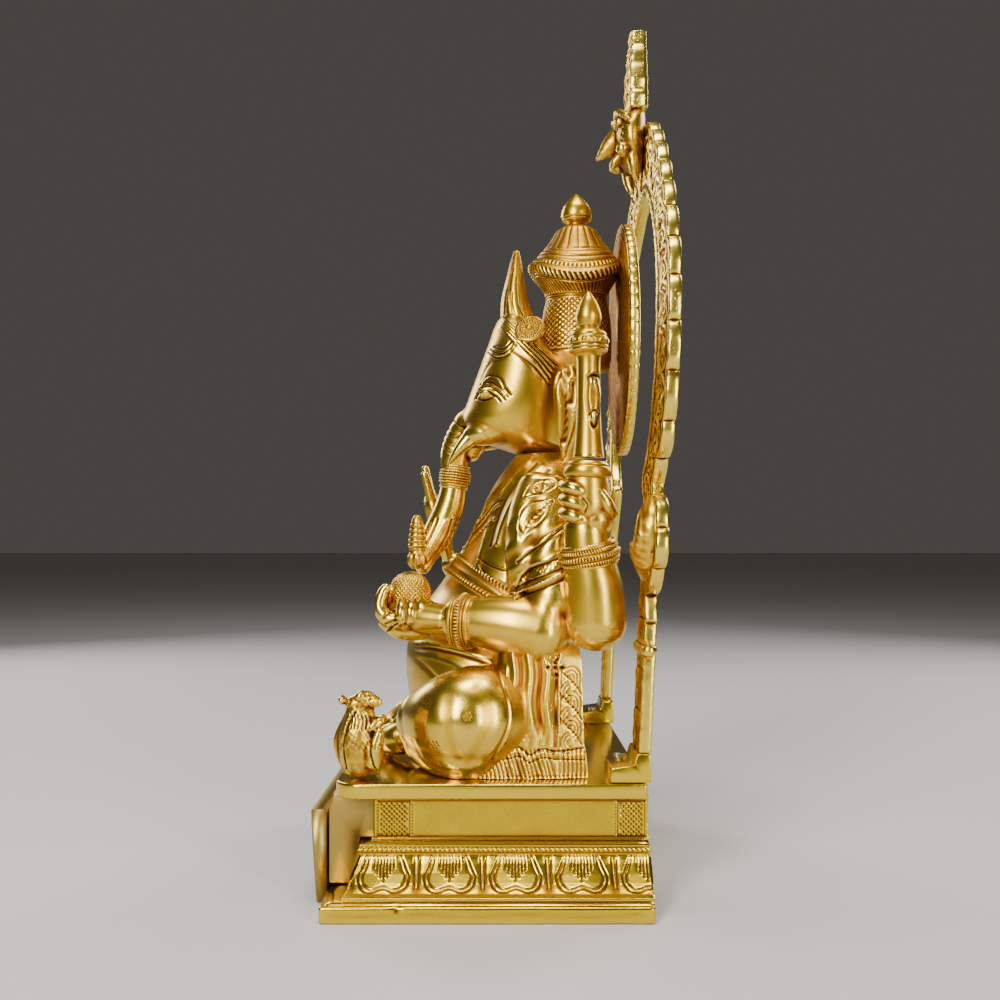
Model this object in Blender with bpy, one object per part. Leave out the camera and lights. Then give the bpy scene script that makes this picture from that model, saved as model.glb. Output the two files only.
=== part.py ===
"""Seated Ganesha in cast brass under a scalloped arch, on a lotus throne, with the mouse: 504 mm tall.

Lengths here are in millimetres and turn into metres where a mesh is made. +X is the figure's left,
the figure faces -Y and +Z is up. Y is drawn from the throne's middle line, and the frame empty moves
the whole figure by Y_DATUM, so that the origin is the centre of the footprint on the table.
"""

import math

import bmesh
import bpy
from mathutils import Matrix, Vector

# ---- driving dimensions, mm -------------------------------------------------------------------
MM = 0.001
GAP = 0.35  # clearance between neighbouring castings
MOST_SHARP = 1.6  # how much further than the clearance a cutter's sharp corner may grow
Y_DATUM = 3.05
BACK = 78.0  # every rear face of the throne lies in this plane

SLAB_HALF, SLAB_FRONT, SLAB_TOP = 125.0, -91.0, 10.0
SKIRT_LEVELS = ((10.35, 122.0, -80.0), (15.0, 115.5, -78.0), (20.0, 109.5, -75.5), (28.3, 103.0, -72.0))
BEAD_LEVELS = ((28.65, 104.5, -73.0), (31.5, 106.0, -74.0), (34.4, 104.5, -73.0))
NECK_HALF, NECK_FRONT, NECK_TOP = 96.0, -66.0, 58.6
WALL = 8.0
DECK_HALF, DECK_FRONT, DECK_BACK = 110.0, -86.0, 76.0
DECK_LOW, DECK_TOP, DECK_ROUND = 59.0, 67.0, 14.0
BAY_HALF = 92.0
STEP_FRONT, STEP_TOP = -100.6, 50.0

ARCH_THICK, ARCH_LEAN = 6.5, math.radians(2.6)
ARCH_FOOT_TOP = 82.0
ARCH_SCALLOP, ARCH_BULGE = 25.0, 4.0
HALO_Z, HALO_HALF, HALO_RISE, HALO_BACK, HALO_THICK = 315.0, 63.0, 70.0, 78.5, 6.0
HALO_SCALLOPS = 54

SEAT = DECK_TOP + GAP  # everything on the deck starts here
CROWN_Y = 47.0
BELT_RISE = 0.6  # the belt climbs this much for each unit forward of the line below
BELT_LEVEL_FROM = 5.0
SCREW_R, SCREW_HEAD_R, SCREW_HEAD = 2.5, 5.0, 4.0

BRASS = (0.62, 0.40, 0.09)
BRASS_DULL = (0.36, 0.22, 0.08)
STEEL = (0.45, 0.45, 0.43)


# ---- scene and materials ----------------------------------------------------------------------
def clear_scene():
    for obj in list(bpy.data.objects):
        bpy.data.objects.remove(obj)


def new_collection(name):
    group = bpy.data.collections.new(name)
    bpy.context.scene.collection.children.link(group)
    return group


def metal(name, colour, roughness):
    mat = bpy.data.materials.new(name + "_metal")
    mat.use_nodes = True
    shader = mat.node_tree.nodes["Principled BSDF"]
    shader.inputs["Base Color"].default_value = (*colour, 1.0)
    shader.inputs["Metallic"].default_value = 1.0
    shader.inputs["Roughness"].default_value = roughness
    return mat


clear_scene()
STATUE = new_collection("brass_ganesha_statue")
CUTTERS = new_collection("cutters")
FRAME = bpy.data.objects.new("statue_frame", None)
FRAME.location = (0.0, Y_DATUM * MM, 0.0)
STATUE.objects.link(FRAME)


def add(name, bm, colour=BRASS, roughness=0.32):
    """Makes a node from a mesh drawn in millimetres, with its own origin at its centre."""
    bmesh.ops.remove_doubles(bm, verts=bm.verts, dist=1e-4)
    bmesh.ops.recalc_face_normals(bm, faces=bm.faces)
    mesh = bpy.data.meshes.new(name)
    bm.to_mesh(mesh)
    bm.free()
    mesh.transform(Matrix.Scale(MM, 4))
    obj = bpy.data.objects.new(name, mesh)
    STATUE.objects.link(obj)
    obj.parent = FRAME
    mesh.materials.append(metal(name, colour, roughness))
    mesh.shade_smooth()
    mesh.set_sharp_from_angle(angle=math.radians(40))
    recentre(obj)
    return obj


def recentre(obj):
    """Puts the origin in the middle of the piece without moving the piece."""
    corners = [Vector(c) for c in obj.bound_box]
    middle = sum(corners, Vector()) / 8
    obj.data.transform(Matrix.Translation(-middle))
    obj.location = obj.location + middle


# ---- shapes -----------------------------------------------------------------------------------
def skin_rings(bm, rings):
    """Joins equal rings of points into one closed skin with flat ends."""
    loops = [[bm.verts.new(p) for p in ring] for ring in rings]
    count = len(loops[0])
    for low, high in zip(loops, loops[1:]):
        for i in range(count):
            j = (i + 1) % count
            bm.faces.new((low[i], low[j], high[j], high[i]))
    bm.faces.new(list(reversed(loops[0])))
    bm.faces.new(loops[-1])


def ellipse_ring(cx, cy, z, rx, ry, sides):
    turn = 2 * math.pi / sides
    return [Vector((cx + rx * math.cos(i * turn), cy + ry * math.sin(i * turn), z)) for i in range(sides)]


def stack(levels, sides=24, cx=0.0):
    """A body of level ellipses: levels are (z, front y, back y, half width)."""
    bm = bmesh.new()
    rings = []
    for z, front, back, half in levels:
        rings.append(ellipse_ring(cx, (front + back) / 2, z, half, (back - front) / 2, sides))
    skin_rings(bm, rings)
    return bm


def spline(points, t):
    """A Catmull-Rom curve through the points, t from 0 to 1."""
    last = len(points) - 1
    k = min(int(t * last), last - 1)
    f = t * last - k
    p0, p1 = points[max(k - 1, 0)], points[k]
    p2, p3 = points[k + 1], points[min(k + 2, last)]
    return 0.5 * (2 * p1 + (p2 - p0) * f + (2 * p0 - 5 * p1 + 4 * p2 - p3) * f * f
                  + (3 * p1 - p0 - 3 * p2 + p3) * f * f * f)


def limb(stations, side=1, sides=14, steps=10, flat=1.0, up=(0, 0, 1)):
    """A round-ended limb through stations (x, y, z, radius); flat squashes it across up."""
    points = [Vector((side * s[0], s[1], s[2], s[3])) for s in stations]
    path = [spline(points, i / steps) for i in range(steps + 1)]
    centres = [p.xyz for p in path]
    radii = [p.w for p in path]
    rings = []
    across = None
    for i, centre in enumerate(centres):
        ahead = (centres[min(i + 1, steps)] - centres[max(i - 1, 0)]).normalized()
        if across is None:
            steep = abs(ahead.dot(Vector(up))) > 0.9
            across = ahead.cross(Vector((0, 1, 0) if steep else up))
        across = (across - ahead * across.dot(ahead)).normalized()
        over = across.cross(ahead).normalized()
        caps = [(0.0, 1.0)]
        if i == 0:
            caps = [(-0.9, 0.35), (-0.6, 0.8), (0.0, 1.0)]
        if i == steps:
            caps = [(0.0, 1.0), (0.6, 0.8), (0.9, 0.35)]
        for along, width in caps:
            middle = centre + ahead * along * radii[i]
            ring = []
            for k in range(sides):
                a = 2 * math.pi * k / sides
                ring.append(middle + radii[i] * width * (across * math.cos(a) + over * flat * math.sin(a)))
            rings.append(ring)
    bm = bmesh.new()
    skin_rings(bm, rings)
    return bm


def turned(profile, centre, sides=20, axis=(0, 0, 1)):
    """A turned solid: profile is (radius, height) from the bottom up, about an axis through centre."""
    spin = Vector((0, 0, 1)).rotation_difference(Vector(axis)).to_matrix()
    bm = bmesh.new()
    skin_rings(bm, [[Vector(centre) + spin @ p for p in ellipse_ring(0, 0, h, r, r, sides)] for r, h in profile])
    return bm


def disc(centre, axis, radius, width, sides=20, crown=0.0):
    """A cylinder about the axis, centred, swelling by crown at its middle."""
    profile = [(radius, -width / 2), (radius + crown, 0.0), (radius, width / 2)]
    return turned(profile, centre, sides, axis)


def block(x0, x1, y0, y1, z0, z1):
    bm = bmesh.new()
    bmesh.ops.create_cube(bm, size=1.0)
    for v in bm.verts:
        v.co = Vector((
            (x0 + x1) / 2 + v.co.x * (x1 - x0),
            (y0 + y1) / 2 + v.co.y * (y1 - y0),
            (z0 + z1) / 2 + v.co.z * (z1 - z0),
        ))
    return bm


def frame_wall(levels, half, front, back):
    """A moulded rectangular wall: outer levels (z, half width, front y), one straight opening."""
    bm = bmesh.new()

    def loop(z, h, f, b):
        return [bm.verts.new(p) for p in ((-h, f, z), (h, f, z), (h, b, z), (-h, b, z))]

    outer = [loop(z, h, f, BACK) for z, h, f in levels]
    inner = [loop(levels[0][0], half, front, back), loop(levels[-1][0], half, front, back)]
    closed = [*outer, inner[1], inner[0], outer[0]]
    for a, b in zip(closed, closed[1:]):
        for i in range(4):
            j = (i + 1) % 4
            bm.faces.new((a[i], a[j], b[j], b[i]))
    return bm


def outline_solid(name, loops, thickness, place):
    """A flat plate from closed outlines, the first outside and the others holes, as a mesh in mm."""
    curve = bpy.data.curves.new(name, "CURVE")
    curve.dimensions = "2D"
    curve.fill_mode = "BOTH"
    curve.extrude = thickness / 2
    for points in loops:
        line = curve.splines.new("POLY")
        line.points.add(len(points) - 1)
        for point, (u, v) in zip(line.points, points):
            point.co = (u, v, 0.0, 1.0)
        line.use_cyclic_u = True
    obj = bpy.data.objects.new(name, curve)
    CUTTERS.objects.link(obj)
    bpy.context.view_layer.update()
    flat = bpy.data.meshes.new_from_object(obj.evaluated_get(bpy.context.evaluated_depsgraph_get()))
    bm = bmesh.new()
    bm.from_mesh(flat)
    bpy.data.objects.remove(obj)
    bmesh.ops.remove_doubles(bm, verts=bm.verts, dist=1e-3)
    bmesh.ops.transform(bm, matrix=place, verts=bm.verts)
    return bm


def upright(y_back, thickness, lean=0.0, z_low=0.0):
    """Stands a drawn plate up: its drawing's (u, v) become X and Z, its rear face is at y_back."""
    lay = Matrix.Rotation(math.pi / 2, 4, "X")
    tip = Matrix.Rotation(-lean, 4, "X")
    return Matrix.Translation((0, y_back - thickness / 2, z_low)) @ tip @ lay @ Matrix.Translation((0, -z_low, 0))


# ---- fitting one casting to another -----------------------------------------------------------
def biggest_body(bm):
    """Drops all but the largest body, counting faces as joined where they share an edge."""
    left, bodies = set(bm.faces), []
    while left:
        seed = left.pop()
        body, edge = {seed}, [seed]
        while edge:
            for side in edge.pop().edges:
                for face in side.link_faces:
                    if face not in body:
                        body.add(face)
                        edge.append(face)
        left -= body
        bodies.append(body)

    bodies.sort(key=lambda body: sum(face.calc_area() for face in body))
    extra = [face for body in bodies[:-1] for face in body]
    bmesh.ops.delete(bm, geom=extra, context="FACES")


def cutter_from(obj, grow):
    """A copy of a piece, grown along its normals by the clearance, for cutting its neighbours."""
    tool = obj.copy()
    tool.data = obj.data.copy()
    tool.name = obj.name + "_cutter"
    CUTTERS.objects.link(tool)
    tool.hide_render = True
    tool.display_type = "WIRE"
    bm = bmesh.new()
    bm.from_mesh(tool.data)
    bm.normal_update()
    moves = [(v, v.normal * min(v.calc_shell_factor(), MOST_SHARP) * grow * MM) for v in bm.verts]
    for v, move in moves:
        v.co += move
    bm.to_mesh(tool.data)
    bm.free()
    return tool


def cleaned(mesh):
    """One closed body from a cut mesh, merging its slivers as widely as keeps it closed."""
    for reach in (3e-5, 1e-5, 4e-6, 1e-6, 2e-7):
        bm = bmesh.new()
        bm.from_mesh(mesh)
        bmesh.ops.triangulate(bm, faces=bm.faces)
        bmesh.ops.remove_doubles(bm, verts=bm.verts, dist=reach)
        bmesh.ops.dissolve_degenerate(bm, edges=bm.edges, dist=reach)
        biggest_body(bm)
        if bm.faces and all(len(edge.link_faces) == 2 for edge in bm.edges):
            return bm
        bm.free()
    bm = bmesh.new()
    bm.from_mesh(mesh)
    biggest_body(bm)
    return bm


def combine(obj, tool, operation):
    """Cuts or joins the tool, removes it and keeps the piece in one body."""
    bpy.context.view_layer.update()
    cut = obj.modifiers.new("fit", "BOOLEAN")
    cut.operation = operation
    cut.solver = "EXACT"
    cut.use_self = True
    cut.object = tool
    bpy.context.view_layer.update()
    fitted = bpy.data.meshes.new_from_object(obj.evaluated_get(bpy.context.evaluated_depsgraph_get()))
    obj.modifiers.remove(cut)
    bm = cleaned(fitted)
    bm.to_mesh(obj.data)
    bm.free()
    bpy.data.objects.remove(tool)


def fit(obj, *neighbours, grow=GAP):
    """Cuts a piece back so that it clears its neighbours, given as objects or names."""
    for other in neighbours:
        known = bpy.data.objects[other] if isinstance(other, str) else other
        combine(obj, cutter_from(known, grow), "DIFFERENCE")
    return obj


def mirrored(obj, name):
    """The same casting for the figure's other side."""
    bm = bmesh.new()
    bm.from_mesh(obj.data)
    bmesh.ops.transform(bm, matrix=Matrix.Diagonal((-1 / MM, 1 / MM, 1 / MM, 1)), verts=bm.verts)
    centre = Vector((-obj.location.x, obj.location.y, obj.location.z)) / MM
    bmesh.ops.translate(bm, vec=centre, verts=bm.verts)
    shade = obj.data.materials[0].node_tree.nodes["Principled BSDF"].inputs
    return add(name, bm, shade["Base Color"].default_value[:3], shade["Roughness"].default_value)


def weld(obj, bm):
    """Casts another shape on to a piece."""
    combine(obj, add("cast_on", bm), "UNION")
    return obj


def drill(obj, x, y, z0, z1, radius):
    combine(obj, add("drill", turned([(radius, z0), (radius, z1)], (x, y, 0), 16)), "DIFFERENCE")


# ---- the throne -------------------------------------------------------------------------------
def make_throne():
    inside = (NECK_HALF - WALL, NECK_FRONT + WALL, BACK - WALL)
    slab_levels = ((0.0, SLAB_HALF - 1, SLAB_FRONT + 1), (1.0, SLAB_HALF, SLAB_FRONT),
                   (8.5, SLAB_HALF, SLAB_FRONT), (SLAB_TOP, SLAB_HALF - 1.5, SLAB_FRONT + 1.5))
    add("base_slab", frame_wall(slab_levels, *inside))
    add("lotus_skirt", frame_wall(SKIRT_LEVELS, *inside))
    add("bead_moulding", frame_wall(BEAD_LEVELS, *inside))
    neck_levels = ((34.75, NECK_HALF, NECK_FRONT), (56.0, NECK_HALF, NECK_FRONT),
                   (NECK_TOP, NECK_HALF + 2.5, NECK_FRONT - 2.5))
    add("throne_neck", frame_wall(neck_levels, *inside))
    add("deck_plate", deck_solid())
    add("front_bay", bay_solid(), BRASS_DULL, 0.5)
    step = block(-BAY_HALF, BAY_HALF, STEP_FRONT, SLAB_FRONT - GAP - 0.6, 0.0, STEP_TOP)
    for v in step.verts:
        if v.co.z < 1.0 and v.co.y < STEP_FRONT + 1.0:
            v.co.y += 3.0
    add("front_step", step, BRASS_DULL, 0.5)


def deck_solid():
    """The top plate: square at the back, rounded at the front corners."""
    corner = []
    for i in range(7):
        a = math.pi / 2 * i / 6
        corner.append((DECK_HALF - DECK_ROUND * (1 - math.cos(a)), DECK_FRONT + DECK_ROUND * (1 - math.sin(a))))
    right = [(-x, y) for x, y in reversed(corner)]
    outline = [*corner, *right, (-DECK_HALF, DECK_BACK), (DECK_HALF, DECK_BACK)]
    lift = Matrix.Translation((0, 0, (DECK_LOW + DECK_TOP) / 2))
    return outline_solid("deck", [outline], DECK_TOP - DECK_LOW, lift)


def bay_solid():
    """The projecting front bay, drawn from the side so that it clears the skirt and the neck."""
    side = ((SLAB_FRONT + 0.2, SLAB_TOP + GAP), (SLAB_FRONT + 0.2, 50.0), (SLAB_FRONT + 2.6, NECK_TOP),
            (NECK_FRONT - 3.0, NECK_TOP), (NECK_FRONT - GAP, 55.4), (NECK_FRONT - GAP, 34.9),
            (-74.5, 34.9), (-74.5, 29.0), (-72.6, 28.2), (-76.3, 20.0), (-78.6, 15.0), (-80.5, SLAB_TOP + GAP))
    turn = Matrix(((0, 0, 1, 0), (1, 0, 0, 0), (0, 1, 0, 0), (0, 0, 0, 1)))
    return outline_solid("bay", [side], 2 * BAY_HALF, turn)


# ---- the arch ---------------------------------------------------------------------------------
def smooth_line(points, count):
    flat = [Vector((x, z, 0)) for x, z in points]
    return [spline(flat, i / (count - 1)).xy for i in range(count)]


def arch_outer():
    """The right half of the outside edge, from the foot to the apex."""
    leg = [(108, ARCH_FOOT_TOP + GAP), (108, 130), (119, 133), (120, 141), (107, 150), (106, 163)]
    curve = smooth_line([(106, 163), (118, 171), (132, 183), (134, 196), (126, 209), (110, 221), (122, 232),
                         (136, 243), (143, 262), (144, 285), (140, 310), (131, 335), (116, 358), (96, 381),
                         (73, 403), (47, 424), (24, 438), (0, 446)], 240)
    run, scalloped = 0.0, []
    for a, b in zip(curve, curve[1:]):
        step = b - a
        run += step.length
        out = Vector((step.y, -step.x)).normalized()
        lift = abs(math.sin(math.pi * run / ARCH_SCALLOP)) ** 0.7
        scalloped.append(a + out * (ARCH_BULGE * lift - 2.0))
    return [Vector(p) for p in leg] + scalloped[6:-2:5]


def arch_inner():
    leg = [Vector((88, ARCH_FOOT_TOP + GAP)), Vector((88, 160))]
    curve = smooth_line([(88, 160), (94, 180), (96, 198), (88, 212), (80, 226), (92, 240), (102, 262), (105, 288),
                         (98, 318), (83, 345), (63, 368), (42, 386), (20, 399), (0, 404)], 40)
    return leg + curve[2:]


def make_arch():
    half = arch_outer()
    inside = arch_inner()
    outline = [*half, Vector((0, 446)), *[Vector((-p.x, p.y)) for p in reversed(half)]]
    hollow = [*[Vector((-p.x, p.y)) for p in inside[:-1]], *reversed(inside)]
    place = upright(BACK, ARCH_THICK, ARCH_LEAN, ARCH_FOOT_TOP)
    arch = add("arch_frame", outline_solid("arch", [[*outline, *hollow]], ARCH_THICK, place))
    for side in (1, -1):
        weld(arch, limb([(91, 75.5, 136.5, 5.0), (115, 75.5, 136.5, 5.6)], side, 12, 3))
    for side, word in ((1, "left"), (-1, "right")):
        xs = sorted((side * 75.5, side * 109.0))
        add("arch_foot_" + word, block(*xs, 57.0, BACK, SEAT, ARCH_FOOT_TOP))
    beast = add("makara_left", limb([(101, 78, 176, 6), (116, 76, 186, 9), (121, 77, 200, 8), (112, 79, 212, 5)],
                                    1, 10, 6))
    mirrored(fit(beast, "arch_frame"), "makara_right")
    make_lion_face()
    make_pinnacle()


def make_lion_face():
    """The guardian face that bites the arch's crown, with its snout and tongue standing forward."""
    face = add("lion_face", stack(((420, 80, 87, 9), (424, 76, 87.5, 16), (432, 71, 88, 20), (441, 70, 88.5, 20),
                                   (448, 73, 89, 17), (453.6, 77, 89, 12)), 20))
    weld(face, limb([(0, 76, 440, 6), (0, 67, 434, 4.8), (0, 60.5, 428.5, 3.2)], 1, 12, 6, 0.9))
    fit(face, "arch_frame")


def make_pinnacle():
    """The flame leaf over the face: ridged, thinning to a squared tip."""
    half = [(15, 454), (16, 461), (14.5, 466), (15, 472), (13, 478), (11, 484), (10, 490), (7.5, 496), (6.5, 504)]
    outline = [Vector(p) for p in half] + [Vector((-x, z)) for x, z in reversed(half)]
    pinnacle = outline_solid("pinnacle", [outline], 13.0, upright(89.6, 13.0, 0.0))
    for v in pinnacle.verts:
        rise = (v.co.z - 454.0) / 50.0
        v.co.y -= 0.9 * rise if v.co.y > 83.0 else -3.0 * rise
    add("arch_pinnacle", pinnacle)


def make_halo():
    count = 2 * HALO_SCALLOPS
    rim = []
    for i in range(count):
        a = 2 * math.pi * i / count
        bump = 1.0 if i % 2 else 0.0
        rim.append(((HALO_HALF - 1.4 + bump) * math.cos(a), HALO_Z + (HALO_RISE - 1.4 + bump) * math.sin(a)))
    add("halo_plate", outline_solid("halo", [rim], HALO_THICK, upright(HALO_BACK, HALO_THICK)))


# ---- the figure -------------------------------------------------------------------------------
def make_body():
    torso = add("torso", stack((
        (SEAT, -44, 43, 62), (74, -50, 44, 70), (92, -54, 45, 72), (112, -57, 46, 71), (130, -56.5, 50, 68),
        (150, -48, 57, 63), (168, -35, 59, 60), (184, -24, 58.5, 60), (200, -15.5, 58, 61), (216, -9, 56, 61),
        (228, -2.5, 53, 54), (238, 4.5, 50, 42), (244.5, 9, 47, 29)), 24))
    head = add("head", stack((
        (245.0, 12, 38, 15), (249, 0, 42, 22), (256, -20, 44, 28), (264, -25, 45, 31.5), (276, -20.5, 46, 34),
        (290, -15.5, 46, 34.5), (298, -12.5, 43, 33.5), (304, -10.5, 37, 32.4), (310, -8.2, 31, 30.5),
        (316, -6, 26, 27), (322, -4, 20, 22), (328, -1, 15, 16), (331.5, 3, 12, 9)), 20))
    return torso, head


def make_face(head):
    trunk = add("trunk", limb([(0, -21, 259, 11.5), (0, -27.5, 247, 9.8), (0, -28, 232, 7.0), (0, -32, 210, 9.2),
                               (2, -42, 190, 8.6), (4, -47.5, 176, 5.2)], 1, 14, 11))
    fit(trunk, head)
    band = add("trunk_band", disc((0, -27.8, 231.5), (0, 0.12, 1), 9.6, 15, 18, 0.6))
    fit(band, trunk)
    for side, word in ((1, "left"), (-1, "right")):
        tip = (17.5, -29.5, 240.5, 1.4) if side > 0 else (16.5, -24.5, 246, 2.2)
        tusk = add("tusk_" + word, limb([(14, -13, 257, 4.2), (16.5, -21.5, 249.5, 3.4), tip], side, 10, 4))
        fit(tusk, head, trunk, band)
    ear = fit(add("ear_left", ear_solid()), head, "torso")
    mirrored(ear, "ear_right")
    boss = add("rosette_left", disc((29.5, 17.5, 317), (1, -0.2, 0.5), 8.8, 5.0, 16, 0.0))
    mirrored(fit(boss, head, ear), "rosette_right")


def ear_solid():
    """A big thin ear, folded back along the head, its tip hanging down."""
    rings = []
    for t, front, back, out in ((0.0, 41, 45, 34), (0.06, 38, 48, 36), (0.25, 34, 52, 39), (0.55, 32, 52, 42),
                                (0.8, 31, 49, 43), (0.95, 33, 45, 41), (1.0, 36, 42, 39)):
        z = 233 + 60 * t
        rings.append([Vector((out + dx, y, z)) for dx, y in (
            (-2.2, front), (1.0, front - 1.2), (2.8, (front + back) / 2), (1.6, back), (-1.4, back + 0.6),
            (-2.6, (front + back) / 2))])
    bm = bmesh.new()
    skin_rings(bm, rings)
    return bm


def make_crown(head):
    c = (0, CROWN_Y, 0)
    drum = add("crown_drum", turned([(20.0, 297), (21.5, 307), (21.2, 322), (19.8, 334), (19.8, 343), (23.5, 350),
                                     (26.5, 355.5)], c, 20))
    fit(drum, head, "halo_plate")
    dome = add("crown_dome", turned([(27, 355.9), (29, 358), (29.3, 361), (28, 363.6), (25.5, 364.8), (23.5, 369),
                              (18.5, 373), (14.5, 377), (11.5, 383), (7.0, 385.6)], c, 22))
    fit(dome, "halo_plate")
    add("crown_finial", turned([(5, 386.0), (8.5, 388.5), (9.5, 392), (8.2, 397), (4.6, 402), (1.0, 405.5)], c, 18))
    leaf = add("crest_leaf", limb([(0, 11.5, 324, 12.0), (0, 9.4, 338, 10.2), (0, 9.8, 354, 6.2), (0, 10.2, 368, 2.8)],
                                  1, 12, 6, 0.85))
    fit(leaf, head, drum)


# ---- arms, hands and what they hold -----------------------------------------------------------
def make_front_left_arm(torso):
    fore = add("front_left_arm", limb([(77, 24, 142, 18.5), (76, 6, 146, 16.5), (72, -13, 148, 13.5),
                                       (66, -24, 149, 11.5)], 1, 12, 6))
    weld(fore, limb([(57, 27, 216, 15), (69, 29, 190, 15), (77, 29, 160, 15.5)], 1, 12, 5))
    weld(fore, limb([(58, 20, 221, 11), (63, 17, 206, 12.5), (67, 15.5, 188, 13), (69, 15, 170, 11.5)], 1, 12, 5))
    fit(fore, torso)
    bangle = add("front_left_bangle", disc((71.5, -19.5, 147.8), (0.33, 1.0, -0.02), 15.2, 12, 16, 1.0))
    fit(bangle, fore, torso)
    hand = add("front_left_hand", limb([(63, -31, 148.5, 10.5), (56, -43, 149, 12.5), (49, -55, 150.5, 12.5),
                                        (44, -64, 153, 6.5)], 1, 12, 6, 0.85))
    fit(hand, fore, bangle, torso)
    sweet = add("sweet", turned([(3, 151), (8, 153), (11, 157.5), (12, 162.5), (10.8, 168), (7.4, 172.6),
                                 (2.6, 174.8)], (45, -51.5, 0), 18))
    fit(sweet, hand, torso, "trunk")


def make_front_right_arm(torso):
    """The blessing arm: elbow at the side, forearm raised, palm to the front."""
    fore = add("front_right_arm", limb([(74, 22, 146, 16.5), (70, 2, 153, 14.5), (62, -20, 167, 11.5),
                                        (56, -31, 178, 9.5)], -1, 12, 6))
    weld(fore, limb([(57, 27, 216, 15), (69, 29, 190, 15), (77, 26, 162, 14.5)], -1, 12, 5))
    fit(fore, torso)
    bangle = add("front_right_bangle", disc((-60.5, -23, 170), (0.45, -0.75, 0.75), 13.6, 9, 16, 1.0))
    fit(bangle, fore, torso)
    hand = add("front_right_hand", limb([(54.5, -35, 184, 8.5), (53, -39.5, 200, 13), (52, -43.5, 216, 12.5),
                                         (51, -48, 236, 6.5)], -1, 12, 7, 0.55, (0, 1, 0)))
    fit(hand, fore, bangle)


def make_rear_arms(torso):
    """Each rear arm drops to its elbow, rises again and holds a staff upright."""
    fore = add("rear_left_arm", limb([(90, 51, 149, 16.5), (91.5, 50, 166, 15.5), (92.5, 47, 184, 13),
                                      (92.5, 46, 197, 11.5)], 1, 14, 6))
    armlet = add("rear_left_armlet", disc((92.3, 47.5, 185), (0.03, -0.16, 1), 16.2, 17, 18, 0.8))
    fit(armlet, fore, "front_left_arm")
    weld(fore, limb([(60, 42, 214, 13.5), (70, 47, 190, 14), (80, 50, 162, 14.5)], 1, 12, 5))
    fit(fore, torso, "front_left_arm")
    fit(fore, armlet, grow=GAP - 0.05)
    hand = add("rear_left_hand", limb([(92.5, 46, 202, 9.5), (93, 45.5, 212, 12.5), (93, 46, 224, 10.5)], 1, 14, 6))
    fit(hand, armlet, fore)
    cuff = add("rear_left_bangle", disc((93, 46.3, 228.5), (0, 0.05, 1), 12.4, 12, 18, 1.0))
    fit(cuff, hand)
    staff = add("staff_left", turned([(8.5, 236), (7.2, 246), (6.2, 262), (6.0, 280), (7.0, 290.5), (10.4, 292.5),
                                      (10.8, 297), (9.4, 302.5), (5.5, 304), (7.0, 310), (4.6, 318),
                                      (0.8, 324)], (93, 46.8, 0), 14))
    fit(staff, hand, cuff)
    for piece in (armlet, hand, cuff, staff):
        mirrored(piece, piece.name.replace("left", "right"))
    fit(mirrored(fore, "rear_right_arm"), "front_right_arm")


# ---- legs, cloth and ornaments ----------------------------------------------------------------
def make_legs(torso):
    leg = add("left_leg", limb([(48, 26, 97, 27), (70, 4, 97, 28.5), (84, -20, 96, 28.0), (66, -38, 92, 20)],
                               1, 16, 8, 1.02))
    fit(leg, torso, "deck_plate")
    foot = add("left_foot", limb([(50, -56, 80, 11), (34, -66, 76.5, 8.5), (20, -68.5, 74.5, 6.5)], 1, 12, 6, 0.9))
    fit(foot, torso, leg, "deck_plate")
    fan = add("left_cloth_fan", fan_solid())
    fit(fan, leg, torso, "front_left_arm", "rear_left_arm")
    for piece in (leg, foot):
        mirrored(piece, piece.name.replace("left", "right"))
    fit(mirrored(fan, "right_cloth_fan"), "front_right_arm")


def fan_solid():
    """The pleated cloth that falls over the hip and spreads on the deck."""
    rings = []
    for z, front, back, out in ((SEAT, -25, 47, 101), (80, -22, 45, 100), (100, -16, 42, 98), (118, -10, 40, 95),
                                (130, -6, 38, 92), (136, -3, 34, 89)):
        outer = [(out - 3 + 3 * math.sin(math.pi * i / 10), front + (back - front) * i / 10) for i in range(11)]
        inner = [(out - 15, back), (out - 15, front)]
        rings.append([Vector((x, y, z)) for x, y in [*outer, *inner]])
    bm = bmesh.new()
    skin_rings(bm, rings)
    return bm


def belt_solid():
    """A broad band round the body, level behind and rising to the front."""
    bm = stack(((151, -35, 62, 67), (155, -32.5, 62.5, 67), (164, -27.5, 62.5, 65.5), (168, -24.5, 61.5, 64)), 24)
    for v in bm.verts:
        v.co.z += BELT_RISE * max(BELT_LEVEL_FROM - v.co.y, 0.0)
    return bm


def make_ornaments(torso):
    belt = add("belt", belt_solid())
    fit(belt, torso)
    fit(belt, "front_left_arm", "front_right_arm", "rear_left_arm", "rear_right_arm", "front_left_bangle",
        "front_right_bangle", "front_left_hand", "sweet", grow=2 * GAP)
    bud = add("trunk_bud", limb([(8, -50, 180, 5.6), (9, -50.5, 193, 5.2), (9.5, -50, 206, 2.6)], 1, 10, 5))
    fit(bud, "trunk", "sweet")


def make_mouse():
    """The mouse sits up at the near front corner of the deck and looks at its master."""
    mouse = add("mouse", limb([(97, -73, 79, 11.5), (97, -74, 90, 11), (97, -73.5, 100, 8)], 1, 12, 5))
    weld(mouse, limb([(97, -76, 106, 5.8), (97, -70, 108.5, 5), (97, -64.5, 107.5, 3)], 1, 10, 4))
    weld(mouse, limb([(97, -80, 72, 2.8), (97, -85.5, 86, 2.6), (97, -80, 100, 2.2)], 1, 8, 4))
    fit(mouse, "deck_plate")


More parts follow.
